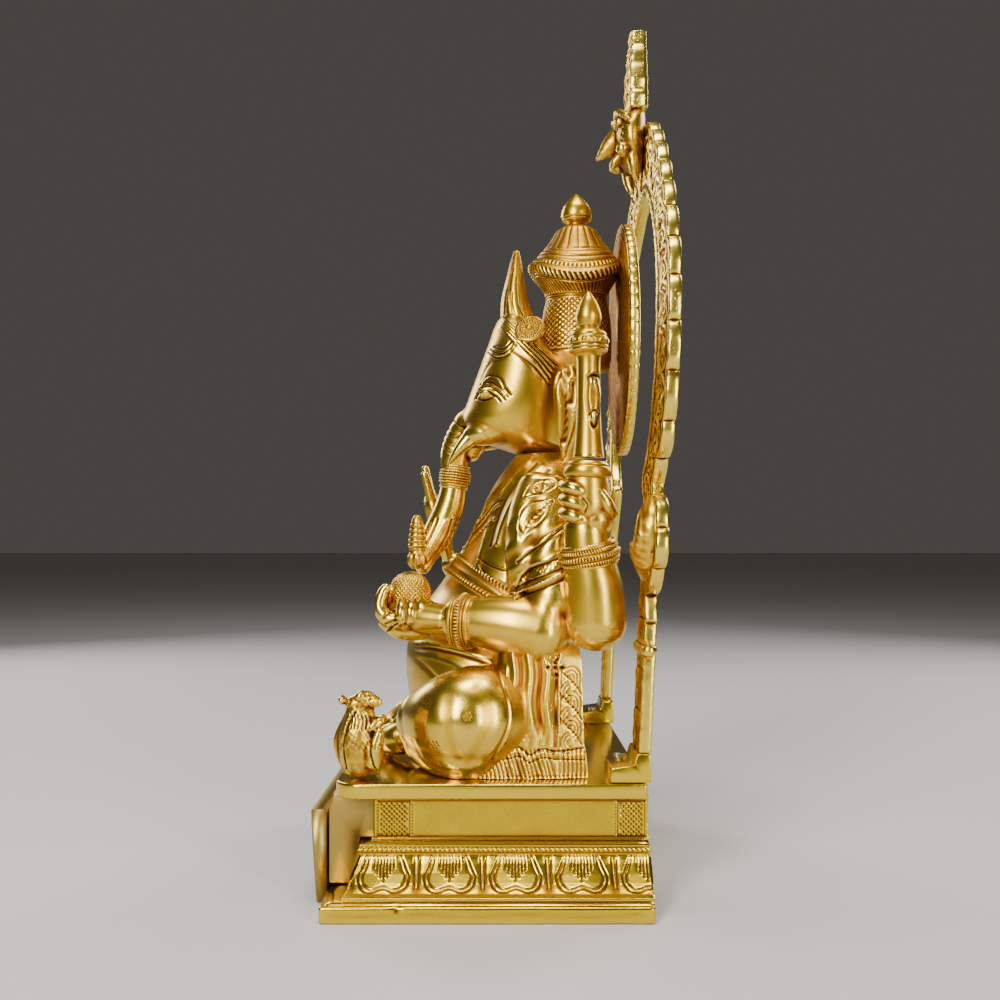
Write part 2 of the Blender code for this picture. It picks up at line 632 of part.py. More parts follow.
# ---- fasteners --------------------------------------------------------------------------------
def screw(name, x, y, top, targets):
    """A cap screw up through the deck: head against the underside, shank in each piece it passes."""
    for target in targets:
        drill(bpy.data.objects[target], x, y, DECK_LOW - 1, top + 1, SCREW_R + GAP)
    low = DECK_LOW - GAP - SCREW_HEAD
    profile = [(SCREW_HEAD_R, low), (SCREW_HEAD_R, low + SCREW_HEAD), (SCREW_R, low + SCREW_HEAD), (SCREW_R, top)]
    add(name, turned(profile, (x, y, 0), 16), STEEL, 0.4)


def make_fasteners():
    screw("figure_screw", 0, 8, 82, ("deck_plate", "torso"))
    for x, name, foot in ((81.5, "arch_screw_left", "arch_foot_left"), (-81.5, "arch_screw_right", "arch_foot_right")):
        screw(name, x, 63.5, 78, ("deck_plate", foot))


def main():
    make_throne()
    make_arch()
    make_halo()
    torso, head = make_body()
    make_face(head)
    make_crown(head)
    make_front_left_arm(torso)
    make_front_right_arm(torso)
    make_rear_arms(torso)
    fit(head, torso)
    make_legs(torso)
    make_ornaments(torso)
    make_mouse()
    make_fasteners()


main()
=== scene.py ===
"""The looks of the brass Ganesha: each casting again with its chased detail, patina and wear.

Shapes are drawn in millimetres, Y from the throne's middle line, as the castings were designed; DATUM
comes from the frame. Each piece stands for the casting of the same name.
"""

import math

import bmesh
import bpy
import numpy as np
from mathutils import Matrix, Vector


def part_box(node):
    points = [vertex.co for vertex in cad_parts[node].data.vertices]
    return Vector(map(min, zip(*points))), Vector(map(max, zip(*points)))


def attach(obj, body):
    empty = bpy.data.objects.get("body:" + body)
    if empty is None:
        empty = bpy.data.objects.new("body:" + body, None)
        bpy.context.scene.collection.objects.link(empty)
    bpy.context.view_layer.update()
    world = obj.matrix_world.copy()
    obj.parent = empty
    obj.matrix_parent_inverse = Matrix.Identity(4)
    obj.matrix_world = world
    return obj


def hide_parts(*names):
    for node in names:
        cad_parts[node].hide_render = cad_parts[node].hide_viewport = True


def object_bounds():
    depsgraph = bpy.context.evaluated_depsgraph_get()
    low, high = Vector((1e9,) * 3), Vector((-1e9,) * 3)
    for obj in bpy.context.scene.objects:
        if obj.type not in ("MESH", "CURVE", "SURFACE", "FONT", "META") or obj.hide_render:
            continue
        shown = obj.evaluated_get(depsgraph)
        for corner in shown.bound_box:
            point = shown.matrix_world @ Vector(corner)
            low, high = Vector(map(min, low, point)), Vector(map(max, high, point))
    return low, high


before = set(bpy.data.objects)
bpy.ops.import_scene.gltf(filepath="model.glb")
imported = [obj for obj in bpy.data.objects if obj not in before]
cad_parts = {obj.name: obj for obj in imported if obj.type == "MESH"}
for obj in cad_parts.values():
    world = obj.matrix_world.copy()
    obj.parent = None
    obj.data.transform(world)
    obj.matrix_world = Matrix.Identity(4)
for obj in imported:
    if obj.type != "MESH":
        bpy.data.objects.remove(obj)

CAD_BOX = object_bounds()
MM = 0.001
BACK = 78.0
ON_DECK = 67.5
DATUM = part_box("throne_neck")[1][1] / MM - BACK


# ---- forms: meshes whose points move as arrays -------------------------------------------------
class Form:
    """A mesh in drawing millimetres."""

    def __init__(self, mesh):
        self.mesh = mesh
        count = len(mesh.vertices)
        flat = np.empty(count * 3, np.float32)
        mesh.vertices.foreach_get("co", flat)
        self.p = flat.reshape(-1, 3).astype(float)
        ends = np.empty(len(mesh.edges) * 2, np.int32)
        mesh.edges.foreach_get("vertices", ends)
        self.a, self.b = ends[0::2], ends[1::2]
        self.links = np.maximum(np.bincount(ends, minlength=count), 1).astype(float)

    def around(self, values):
        """The mean of each point's neighbours."""
        count = len(self.p)
        if values.ndim == 1:
            total = np.bincount(self.a, values[self.b], count) + np.bincount(self.b, values[self.a], count)
            return total / self.links
        return np.stack([self.around(values[:, k]) for k in range(values.shape[1])], axis=1)

    def relax(self, times, share=0.5, where=None):
        for _ in range(times):
            move = (self.around(self.p) - self.p) * share
            self.p += move if where is None else move * where[:, None]
        return self

    def normals(self):
        self.mesh.vertices.foreach_set("co", self.p.astype(np.float32).ravel())
        self.mesh.update()
        flat = np.empty(len(self.p) * 3, np.float32)
        self.mesh.vertex_normals.foreach_get("vector", flat)
        return flat.reshape(-1, 3).astype(float)

    def push(self, amount):
        self.p += self.normals() * amount[:, None]
        return self

    def hollow(self, rounds=10):
        """0.5 where flat, more in a recess and less on a ridge."""
        smooth = self.p.copy()
        for _ in range(rounds):
            smooth += (self.around(smooth) - smooth) * 0.6
        depth = ((smooth - self.p) * self.normals()).sum(axis=1)
        return np.clip(0.5 + depth * 1.5, 0.0, 1.0)


def ease(x, low, high):
    t = np.clip((x - low) / (high - low), 0.0, 1.0)
    return t * t * (3 - 2 * t)


def bell(x, width):
    return np.exp(-((x / width) ** 2))


def spline(points, t):
    last = len(points) - 1
    k = min(int(t * last), last - 1)
    f = t * last - k
    p0, p1 = points[max(k - 1, 0)], points[k]
    p2, p3 = points[k + 1], points[min(k + 2, last)]
    return 0.5 * (2 * p1 + (p2 - p0) * f + (2 * p0 - 5 * p1 + 4 * p2 - p3) * f * f
                  + (3 * p1 - p0 - 3 * p2 + p3) * f * f * f)


def curve_points(points, count):
    """count points along a smooth curve through points of any dimension, as an array."""
    known = [np.array(p, float) for p in points]
    return np.array([spline(known, i / (count - 1)) for i in range(count)])


def line_distance(q, line):
    """Each point's distance to a polyline."""
    best = np.full(len(q), 1e9)
    for a, b in zip(line, line[1:]):
        step = b - a
        size = max(float(np.hypot(*step)), 1e-9)
        t = np.clip(((q - a) @ step) / size ** 2, 0, 1)
        best = np.minimum(best, np.hypot(*(q - (a + t[:, None] * step)).T))
    return best


def facing(form, axis, side, low=0.15, high=0.45):
    """How much each point faces along an axis: side is 1, -1 or 0 for both ways."""
    n = form.normals()[:, axis]
    return ease(np.abs(n) if side == 0 else n * side, low, high)


# ---- ways of making forms ----------------------------------------------------------------------
def woven(grid, close_u=False, close_v=True, cap=True):
    """A form from a grid of points (u, v, 3): v runs round the section, u along the piece."""
    nu, nv = grid.shape[:2]
    points = grid.reshape(-1, 3)
    u = np.arange(nu if close_u else nu - 1)[:, None]
    v = np.arange(nv if close_v else nv - 1)[None, :]
    un, vn = (u + 1) % nu, (v + 1) % nv
    quads = np.stack([u * nv + v, u * nv + vn, un * nv + vn, un * nv + v], axis=-1).reshape(-1, 4)
    faces = quads.tolist()
    if cap and close_v and not close_u:
        points = np.concatenate([points, grid[0].mean(0, keepdims=True), grid[-1].mean(0, keepdims=True)])
        low, high = nu * nv, nu * nv + 1
        faces += [[low, (i + 1) % nv, i] for i in range(nv)]
        top = (nu - 1) * nv
        faces += [[high, top + i, top + (i + 1) % nv] for i in range(nv)]
    mesh = bpy.data.meshes.new("form")
    mesh.from_pydata([tuple(p) for p in points], [], faces)
    mesh.validate()
    bm = bmesh.new()
    bm.from_mesh(mesh)
    bmesh.ops.recalc_face_normals(bm, faces=bm.faces)
    bm.to_mesh(mesh)
    bm.free()
    return Form(mesh)


def circle(count):
    """The angles of count points spread evenly round a ring."""
    return np.linspace(0, 2 * math.pi, count, endpoint=False)


def hoop(a, rx, z, x=0, y=0, ry=None):
    """A level ring of points at the angles a, rx across and ry (or rx) deep, about (x, y)."""
    ry = rx if ry is None else ry
    return np.column_stack([x + rx * np.cos(a), y + ry * np.sin(a), z + np.zeros(len(a))])


def arc(x, z, r, start, stop, count, tall=1.0):
    """Points of a drawn arc about (x, z), tall times as high as wide."""
    return [(x + r * math.cos(a), z + tall * r * math.sin(a)) for a in np.linspace(start, stop, count)]


def swing(axis):
    """The rotation that takes +Z to an axis."""
    return np.array(Vector((0, 0, 1)).rotation_difference(Vector(axis)).to_matrix())


ROUND_END = (0, 0.3, 0.6, 0.9, 1.2, 1.45)


def limb_grid(stations, side=1, sides=32, steps=30, flat=1.0, up=(0, 0, 1)):
    """Rings of a round-ended limb through stations (x, y, z, radius)."""
    path = curve_points([(side * s[0], *s[1:]) for s in stations], steps + 1)
    centres, radii = path[:, :3], path[:, 3]
    rings, across, around = [], None, circle(sides)
    for i in range(steps + 1):
        ahead = centres[min(i + 1, steps)] - centres[max(i - 1, 0)]
        ahead /= np.linalg.norm(ahead)
        if across is None:
            steep = abs(ahead @ np.array(up, float)) > 0.9
            across = np.cross(ahead, (0, 1, 0) if steep else up)
        across = across - ahead * (across @ ahead)
        across /= np.linalg.norm(across)
        over = np.cross(across, ahead)
        bends = [0.0]
        if i == 0:
            bends = [-b for b in reversed(ROUND_END)]
        if i == steps:
            bends = ROUND_END
        for bend in bends:
            middle = centres[i] + ahead * radii[i] * math.sin(bend) * 0.95
            width = radii[i] * math.cos(bend)
            rings.append(middle + np.outer(np.cos(around), across) * width
                         + np.outer(np.sin(around), over) * (width * flat))
    return np.array(rings)


def limb(stations, **how):
    return woven(limb_grid(stations, **how))


def stack_grid(levels, sides=64, steps=60):
    """Rings of a body of level ellipses: levels are (z, front y, back y, half width)."""
    return np.array([hoop(circle(sides), half, z, 0, (front + back) / 2, (back - front) / 2)
                     for z, front, back, half in curve_points(levels, steps)])


def ball(centre, radii, turn=None, sides=24):
    """An ellipsoid, turned by (axis letter, degrees) if given."""
    spin = np.array(Matrix.Rotation(math.radians(turn[1]), 3, turn[0])) if turn else np.eye(3)
    rings = [hoop(circle(sides), radii[0] * math.cos(t), radii[2] * math.sin(t), ry=radii[1] * math.cos(t))
             for t in np.linspace(-math.pi / 2, math.pi / 2, sides)[1:-1]]
    return woven(np.array(rings) @ spin.T + np.array(centre, float))


def clay(parts, voxel, relax=4):
    """Fuses forms into one skin, as wax is worked together, then smooths it."""
    bm = bmesh.new()
    for part in parts:
        part.normals()
        bm.from_mesh(part.mesh)
        bpy.data.meshes.remove(part.mesh)
    mesh = bpy.data.meshes.new("clay")
    bm.to_mesh(mesh)
    bm.free()
    obj = bpy.data.objects.new("clay", mesh)
    bpy.context.scene.collection.objects.link(obj)
    knead = obj.modifiers.new("fuse", "REMESH")
    knead.mode = "VOXEL"
    knead.voxel_size = voxel
    bpy.context.view_layer.update()
    fused = bpy.data.meshes.new_from_object(obj.evaluated_get(bpy.context.evaluated_depsgraph_get()))
    bpy.data.objects.remove(obj)
    return Form(fused).relax(relax)


class Marks:
    """Chisel marks gathered on one form and struck together."""

    def __init__(self, form, axes=(1, 2), mask=None):
        self.form, self.axes, self.mask = form, list(axes), mask
        self.amount = np.zeros(len(form.p))

    def near(self, low, high, reach):
        q = self.form.p[:, self.axes]
        inside = np.all((q > np.array(low) - reach) & (q < np.array(high) + reach), axis=1)
        if self.mask is not None:
            inside &= self.mask > 0.02
        index = np.nonzero(inside)[0]
        return index, q[index]

    def line(self, points, width, depth, smooth=True, count=24):
        path = curve_points(points, count) if smooth and len(points) > 2 else np.array(points, float)
        index, q = self.near(path.min(0), path.max(0), 3 * width)
        if len(index):
            self.amount[index] -= depth * bell(line_distance(q, path), width)

    def lines(self, *rows, **how):
        for path, width, depth in rows:
            self.line(path, width, depth, **how)

    def dot(self, centre, radius, depth):
        index, q = self.near(centre, centre, 3 * radius)
        if len(index):
            self.amount[index] -= depth * bell(np.hypot(*(q - np.array(centre)).T), radius)

    def dots(self, points, pitch, radius, depth, smooth=True):
        path = curve_points(points, 60) if smooth and len(points) > 2 else np.array(points, float)
        run = np.concatenate([[0], np.cumsum(np.hypot(*np.diff(path, axis=0).T))])
        for at in np.arange(pitch / 2, run[-1], pitch):
            self.dot([np.interp(at, run, path[:, 0]), np.interp(at, run, path[:, 1])], radius, depth)

    def strike(self):
        self.form.push(self.amount * (1 if self.mask is None else self.mask))


# ---- brass -------------------------------------------------------------------------------------
def node(tree, kind, **inputs):
    made = tree.nodes.new(kind)
    for key, value in inputs.items():
        name = key.replace("_", " ")
        if name in made.inputs:
            made.inputs[name].default_value = value
    return made


def ramp(tree, source, stops):
    made = tree.nodes.new("ShaderNodeValToRGB")
    tree.links.new(source, made.inputs["Fac"])
    elements = made.color_ramp.elements
    while len(elements) < len(stops):
        elements.new(0.5)
    for element, (place, colour) in zip(elements, stops):
        element.position = place
        element.color = (*colour, 1) if len(colour) == 3 else (colour[0],) * 3 + (1,)
    return made.outputs["Color"]


def maths(tree, kind, a, b):
    made = tree.nodes.new("ShaderNodeMath")
    made.operation = kind
    for socket, value in zip(made.inputs, (a, b)):
        if isinstance(value, (int, float)):
            socket.default_value = value
        else:
            tree.links.new(value, socket)
    return made.outputs[0]


def brass(name, stops, rough=(0.22, 0.34, 0.55), pits=0.4, lines=0.0, blotch=0.06):
    """Polished cast brass: stops colour it from rubbed ridge to deep recess, along the hollow attribute,
    which also carries each part's painted shade and painted light offset.
    """
    mat = bpy.data.materials.new(name)
    mat.use_nodes = True
    tree = mat.node_tree
    shader = tree.nodes["Principled BSDF"]
    shader.inputs["Metallic"].default_value = 1.0
    where = tree.nodes.new("ShaderNodeTexCoord").outputs["Object"]
    # Reads the hollow attribute: patina in recesses, wear on ridges, plus each part's painted shade and
    # painted light offset.
    patina_wear_and_painted_light = node(tree, "ShaderNodeAttribute")
    patina_wear_and_painted_light.attribute_name = "hollow"
    cloud = node(tree, "ShaderNodeTexNoise", Scale=38.0, Detail=6.0, Roughness=0.6)
    fine = node(tree, "ShaderNodeTexNoise", Scale=900.0, Detail=4.0, Roughness=0.65)
    for made in (cloud, fine):
        tree.links.new(where, made.inputs["Vector"])
    tone = maths(tree, "SUBTRACT", cloud.outputs["Fac"], 0.5)
    mixed = maths(tree, "ADD", patina_wear_and_painted_light.outputs["Fac"], maths(tree, "MULTIPLY", tone, blotch * 2))
    speck = maths(tree, "MULTIPLY", maths(tree, "SUBTRACT", fine.outputs["Fac"], 0.5), 0.10)
    mixed = maths(tree, "ADD", mixed, speck)
    tree.links.new(ramp(tree, mixed, stops), shader.inputs["Base Color"])
    tree.links.new(ramp(tree, mixed, ((0.3, (rough[0],)), (0.5, (rough[1],)), (0.72, (rough[2],)))),
                   shader.inputs["Roughness"])
    pit = node(tree, "ShaderNodeTexVoronoi", Scale=420.0)
    tree.links.new(where, pit.inputs["Vector"])
    hole = ramp(tree, pit.outputs["Distance"], ((0.0, (0.0,)), (0.16, (0.0,)), (0.34, (1.0,))))
    patch = ramp(tree, cloud.outputs["Fac"], ((0.50, (1.0,)), (0.62, (0.0,))))
    flat = maths(tree, "MAXIMUM", hole, patch)
    height = maths(tree, "ADD", maths(tree, "MULTIPLY", flat, pits),
                   maths(tree, "MULTIPLY", fine.outputs["Fac"], 0.25))
    if lines:
        stretch = tree.nodes.new("ShaderNodeMapping")
        stretch.inputs["Scale"].default_value = (60.0, 60.0, 2600.0)
        tree.links.new(where, stretch.inputs["Vector"])
        files = node(tree, "ShaderNodeTexNoise", Scale=1.0, Detail=3.0)
        tree.links.new(stretch.outputs["Vector"], files.inputs["Vector"])
        height = maths(tree, "ADD", height, maths(tree, "MULTIPLY", files.outputs["Fac"], lines))
    bump = node(tree, "ShaderNodeBump", Strength=0.35, Distance=0.0004)
    tree.links.new(height, bump.inputs["Height"])
    tree.links.new(bump.outputs["Normal"], shader.inputs["Normal"])
    return mat


GOLD = (0.72, 0.44, 0.025)
LIGHT = (0.87, 0.64, 0.09)
HONEY = (0.44, 0.19, 0.016)
BROWN = (0.15, 0.045, 0.006)
DARK = (0.03, 0.010, 0.003)
FIGURE = brass("figure_brass", ((0.25, LIGHT), (0.47, GOLD), (0.58, HONEY), (0.72, BROWN), (0.95, DARK)),
               pits=0.15)
RELIEF = brass("relief_brass", ((0.22, LIGHT), (0.42, GOLD), (0.53, HONEY), (0.66, BROWN), (0.92, DARK)),
               rough=(0.26, 0.40, 0.6), pits=0.9, blotch=0.12)
PLAIN = brass("throne_brass", ((0.25, (0.80, 0.57, 0.04)), (0.48, (0.72, 0.50, 0.012)), (0.60, HONEY),
                               (0.72, BROWN), (0.9, DARK)),
              rough=(0.20, 0.28, 0.5), pits=0.2, lines=0.12, blotch=0.04)
# Darker, rougher brass for the front bay and step; its darker colour is painted shade.
PAINTED_SHADE_BRASS = brass("dull_brass", ((0.3, (0.46, 0.31, 0.07)), (0.5, (0.33, 0.20, 0.04)),
                            (0.62, (0.18, 0.10, 0.02)), (0.8, (0.06, 0.035, 0.01))),
             rough=(0.4, 0.5, 0.66), pits=0.5, blotch=0.16)
STEEL = brass("screw_steel", ((0.3, (0.6, 0.6, 0.58)), (0.6, (0.42, 0.42, 0.40))), lines=0.6)


def finish(form, name, mat, *nodes, rounds=10, painted_lighting_offset=0.0):
    """Sets a form down in the frame as a piece that stands for the named castings; its offset darkens it with
    painted shade, and lightens it with painted light where negative.
    """
    # The part's offset adds painted shade (above zero) and painted light (below zero) on top of the patina
    # mask.
    hollow = form.hollow(rounds) + painted_lighting_offset
    form.p = np.clip((form.p + np.array([0, DATUM, 0])) * MM, CAD_BOX[0], CAD_BOX[1])
    form.normals()
    form.mesh.name = name
    layer = form.mesh.attributes.new("hollow", "FLOAT", "POINT")
    layer.data.foreach_set("value", hollow.astype(np.float32))
    form.mesh.shade_smooth()
    form.mesh.materials.clear()
    form.mesh.materials.append(mat)
    obj = bpy.data.objects.new(name, form.mesh)
    bpy.context.scene.collection.objects.link(obj)
    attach(obj, "root")
    if nodes:
        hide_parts(*nodes)
    return obj


def mirrored(form):
    copy = Form(form.mesh.copy())
    copy.p = form.p * np.array([-1, 1, 1])
    copy.normals()
    copy.mesh.flip_normals()
    return copy


def finish_pair(form, word, mat, *words, rounds=10, painted_lighting_offset=0.0):
    """Both sides of a casting: words name nodes with SIDE where the side's name goes."""
    other = mirrored(form)
    for side, made in (("left", form), ("right", other)):
        finish(made, word.replace("SIDE", side) + "_skin", mat, *[w.replace("SIDE", side) for w in words],
               rounds=rounds, painted_lighting_offset=painted_lighting_offset)


# ---- throne ------------------------------------------------------------------------------------
HOLLOW = (88.0, -58.0, 70.0)


def moulding(outer, step=0.9):
    """A frame wall with a dense outer face: outer rows are (z, half width, front y)."""
    rows = [(z, h, f, BACK) for z, h, f in outer]
    rows += [(outer[-1][0], *HOLLOW), (outer[0][0], *HOLLOW)]
    grid = []
    half, front = outer[0][1], outer[0][2]
    counts = [int((BACK - front) / step), int(2 * half / step), int((BACK - front) / step),
              int(2 * half / step / 3)]
    for z, h, f, b in rows:
        corners = [(h, b), (h, f), (-h, f), (-h, b), (h, b)]
        line = []
        for (a, c), count in zip(zip(corners, corners[1:]), counts):
            t = np.arange(count)[:, None] / count
            line.append(np.array(a) * (1 - t) + np.array(c) * t)
        flat = np.concatenate(line)
        grid.append(np.column_stack([flat, np.full(len(flat), z)]))
    return woven(np.array(grid), close_u=True)


def profile(points, gap=0.7):
    """Rows (z, half, front) along a profile, no further apart than gap."""
    path = np.array(points, float)
    run = np.concatenate([[0], np.cumsum(np.linalg.norm(np.diff(path, axis=0), axis=1))])
    at = np.linspace(0, run[-1], max(int(run[-1] / gap), 2))
    return list(zip(*(np.interp(at, run, path[:, k]) for k in range(3))))


def along_face(form):
    """The run along whichever throne face a point is on: y on the flanks, x at the front."""
    n = form.normals()
    flank = np.abs(n[:, 0]) > np.abs(n[:, 1])
    return np.where(flank, form.p[:, 1], form.p[:, 0])


def flank_mask(form):
    n = form.normals()
    return ease(np.abs(n[:, 0]), 0.25, 0.55) * (np.abs(form.p[:, 0]) > HOLLOW[0] + 1)


def make_slab():
    form = moulding(profile([(0, 124, -90), (0.8, 124.8, -90.8), (7.8, 125, -91), (8.6, 124.4, -90.4),
                             (8.8, 121.9, -87.9), (10, 121.6, -87.6)]), 1.6)
    wobble = 0.12 * np.sin(form.p[:, 1] * 0.11) * np.sin(form.p[:, 2] * 0.7 + form.p[:, 0] * 0.05)
    form.push(wobble)
    for y, z in ((24, 1.2), (-52, 7.6), (61, 0.8)):
        near = bell(np.hypot(form.p[:, 1] - y, form.p[:, 2] - z), 1.6) * (form.p[:, 0] > 120)
        form.p[:, 0] -= 0.8 * near
    form.relax(1)
    finish(form, "base_slab_skin", PLAIN, "base_slab")


PETAL_PITCH, PETAL_FIRST = 34.0, -59.9


def petal_lines(c, low, high):
    """One lotus petal: a heart-footed double outline, with hairs hanging from its top."""
    def spot(dx, h):
        return (c + dx, low + (high - low) * h)

    lines, dots = [], []
    for inset, depth in ((0.0, 0.6), (2.3, 0.5)):
        right = [(8.6 - 0.5 * inset, 1.02), (11.4 - inset, 0.66), (13.4 - inset, 0.38),
                 (11.6 - inset, 0.14 + 0.02 * inset),
                 (6.2 - 0.3 * inset, 0.04 + 0.03 * inset), (0, 0.13 + 0.03 * inset)]
        path = [spot(dx, h) for dx, h in right] + [spot(-dx, h) for dx, h in reversed(right[:-1])]
        lines.append((path, 0.36, depth))
    for k in range(-3, 4):
        length = 0.62 - 0.1 * abs(k)
        foot = spot(k * 1.75, 1.0 - length)
        lines.append(([spot(k * 1.6, 1.02), foot], 0.34, 0.6))
        dots.append((foot[0], foot[1] - 1.0))
    return lines, dots


def make_skirt():
    rows = profile([(10.4, 121.5, -79.6), (12.0, 121.8, -79.9), (13.2, 118.2, -79.0), (16.5, 112.6, -77.0),
                    (20.5, 108.6, -75.0), (25.0, 105.2, -73.2), (28.3, 103.6, -72.2)], 0.55)
    form = moulding(rows, 0.5)
    mask = flank_mask(form)
    place = (along_face(form) - PETAL_FIRST) / PETAL_PITCH
    cell = np.abs(place - np.round(place)) * PETAL_PITCH
    rise = ease(form.p[:, 2], 12.8, 15.5)
    form.push(mask * rise * (0.9 * bell(cell, 10.5) - 0.5 * bell(cell - 17, 2.2)))
    marks = Marks(form, (1, 2), mask)
    for k in range(5):
        lines, dots = petal_lines(PETAL_FIRST + PETAL_PITCH * k, 13.2, 28.6)
        for path, width, depth in lines:
            marks.line(path, width, depth, count=40)
        for dot in dots:
            marks.dot(dot, 0.45, 0.5)
    for k in range(6):
        x = PETAL_FIRST + PETAL_PITCH * (k - 0.5)
        for dx in (-1.3, 1.3):
            marks.line([(x + dx, 28.6), (x + dx * 0.6, 15.0)], 0.4, 0.4)
    marks.strike()
    finish(form, "lotus_skirt_skin", PLAIN, "lotus_skirt", rounds=6)


def make_beads():
    rows = profile([(28.7, 103.6, -72.4), (29.4, 104.2, -73), (30.3, 104.0, -72.8), (31.0, 104.9, -73.4),
                    (32.6, 104.9, -73.4), (33.3, 104.0, -72.8), (34.4, 104.3, -73)], 0.35)
    form = moulding(rows, 0.45)
    run = along_face(form)
    mask = flank_mask(form) + ease(-form.normals()[:, 1], 0.3, 0.6) * (form.p[:, 1] < -60)
    form.push(mask * 0.75 * bell(form.p[:, 2] - 31.8, 0.95) * (0.5 + 0.5 * np.cos(2 * np.pi * run / 2.5)))
    finish(form, "bead_moulding_skin", PLAIN, "bead_moulding", rounds=4)


def make_neck():
    rows = profile([(34.8, 97.6, -67.6), (36.0, 97.6, -67.6), (36.6, 96, -66), (55.4, 96, -66),
                    (56.6, 96.8, -66.8),
                    (58.6, 98.4, -68.4)], 0.55)
    form = moulding(rows, 0.62)
    mask = flank_mask(form)
    marks = Marks(form, (1, 2), mask)
    for y0, y1 in ((-64.0, -47.5), (62.0, 76.0)):
        for y in np.arange(y0 - 20, y1 + 20, 2.7):
            for lean in (-1, 1):
                run = [(y + lean * (z - 37.6), z) for z in np.linspace(37.6, 54.6, 12)]
                inside = [p for p in run if y0 + 0.8 < p[0] < y1 - 0.8]
                if len(inside) > 1:
                    marks.line([inside[0], inside[-1]], 0.38, 0.34)
        for y in (y0, y1):
            marks.line([(y, 37.2), (y, 55)], 0.35, 0.3)
            for z in np.arange(38, 55, 1.7):
                marks.dot((y + (1.3 if y == y1 else -1.0), z), 0.4, 0.4)
        for z in (37.0, 54.9):
            marks.line([(y0, z), (y1, z)], 0.35, 0.3)
    marks.strike()
    dents = 0.10 * np.sin(form.p[:, 1] * 0.19) * np.sin(form.p[:, 2] * 0.33 + 1.0)
    form.push(dents * mask)
    finish(form, "throne_neck_skin", PLAIN, "throne_neck", rounds=5)


def bevelled(bm, width, segments=3):
    """A hard-edged solid with its edges eased."""
    bmesh.ops.remove_doubles(bm, verts=bm.verts, dist=1e-4)
    bmesh.ops.dissolve_limit(bm, angle_limit=0.02, verts=bm.verts, edges=bm.edges)
    bmesh.ops.recalc_face_normals(bm, faces=bm.faces)
    edges = [e for e in bm.edges if len(e.link_faces) == 2 and e.calc_face_angle(0) > 0.35]
    bmesh.ops.bevel(bm, geom=edges, offset=width, segments=segments, profile=0.5, affect="EDGES")
    mesh = bpy.data.meshes.new("bevelled")
    bm.to_mesh(mesh)
    bm.free()
    return Form(mesh)


def prism(outline, axis, low, high):
    """A solid from a closed outline drawn in the plane across an axis (0 for x, 2 for z)."""
    bm = bmesh.new()
    rows = []
    for level in (low, high):
        ring = []
        for u, v in outline:
            ring.append(bm.verts.new((level, u, v) if axis == 0 else (u, v, level)))
        rows.append(ring)
    count = len(outline)
    for i in range(count):
        j = (i + 1) % count
        bm.faces.new((rows[0][i], rows[0][j], rows[1][j], rows[1][i]))
    bm.faces.new(list(reversed(rows[0])))
    bm.faces.new(rows[1])
    return bm


def make_deck():
    half, front, back, turn = 110.0, -86.0, 76.0, 14.0
    corner = [(half - turn * (1 - math.cos(a)), front + turn * (1 - math.sin(a)))
              for a in np.linspace(0, math.pi / 2, 13)]
    outline = corner + [(-x, y) for x, y in reversed(corner)] + [(-half, back), (half, back)]
    form = bevelled(prism(outline, 2, 59.0, 67.0), 1.3, 4)
    finish(form, "deck_plate_skin", PLAIN, "deck_plate", rounds=2)
    side = ((-90.8, 10.4), (-90.8, 50.0), (-88.4, 58.6), (-69.0, 58.6), (-66.4, 55.4), (-66.4, 34.9),
            (-74.5, 34.9),
            (-74.5, 29.0), (-72.6, 28.2), (-76.3, 20.0), (-78.6, 15.0), (-80.5, 10.4))
    # The front bay and step take the darker brass, whose colour is painted shade.
    finish(bevelled(prism(side, 0, -92.0, 92.0), 0.9), "front_bay_skin", PAINTED_SHADE_BRASS, "front_bay", rounds=2)
    finish(step_board(), "front_step_skin", PAINTED_SHADE_BRASS, "front_step", rounds=4)


def step_board():
    """The board before the throne: a framed face with a row of rings, leaning a little forward."""
    xs = np.linspace(-91.9, 91.9, 420)
    rows = []
    for z in np.linspace(0.3, 49.7, 110):
        front = -97.6 - 3.0 * z / 50.0
        edge = np.minimum(np.minimum(92.0 - np.abs(xs), z), 50 - z)
        sink = 0.9 * ease(edge, 4.6, 5.6) - 0.5 * bell(edge - 3.2, 0.5)
        cell = (xs + 92.0) / 23.0
        dx = (cell - np.floor(cell) - 0.5) * 23.0
        ring = np.hypot(dx, (z - 17.0) / 1.25)
        inside = ease(edge, 6.4, 7.4)
        sink = sink - 0.6 * inside * bell(ring - 8.6, 0.8) - 0.45 * inside * bell(ring - 5.8, 0.6)
        sink = sink - 0.5 * inside * bell(z - 36.0, 0.8)
        sink = sink - 0.4 * inside * (0.5 + 0.5 * np.cos(xs * 2.2)) * bell(z - 39.0, 0.9)
        rows.append(np.column_stack([xs, front + 0.9 * bell(edge, 0.7) + sink, np.full(len(xs), z)]))
    face = np.array(rows)
    back = face[[-1, 0]]
    back[:, :, 1] = -92.0
    loop = np.concatenate([face, back])
    return woven(loop.transpose(1, 0, 2))


# ---- arch and halo -----------------------------------------------------------------------------
ARCH_LEAN = math.tan(math.radians(2.6))
ARCH_PLATE = 6.5
ROSETTE_PITCH = 25.0
OUTER = [(108, 82.4), (108, 100), (108, 126), (106.5, 150), (106, 163), (118, 171), (132, 183), (134, 196),
         (126, 209),
         (110, 221), (122, 232), (136, 243), (143, 262), (144, 285), (140, 310), (131, 335), (116, 358),
         (96, 381),
         (73, 403), (47, 424), (24, 438), (0, 446)]
INNER = [(88, 82.4), (88, 100), (88, 126), (88, 150), (89, 163), (93, 174), (96, 186), (95, 198), (87, 212),
         (79, 226),
         (88, 236), (96, 247), (102, 264), (105, 286), (102, 308), (95, 328), (84, 346), (69, 363), (52, 378),
         (33, 391),
         (16, 400), (0, 404)]


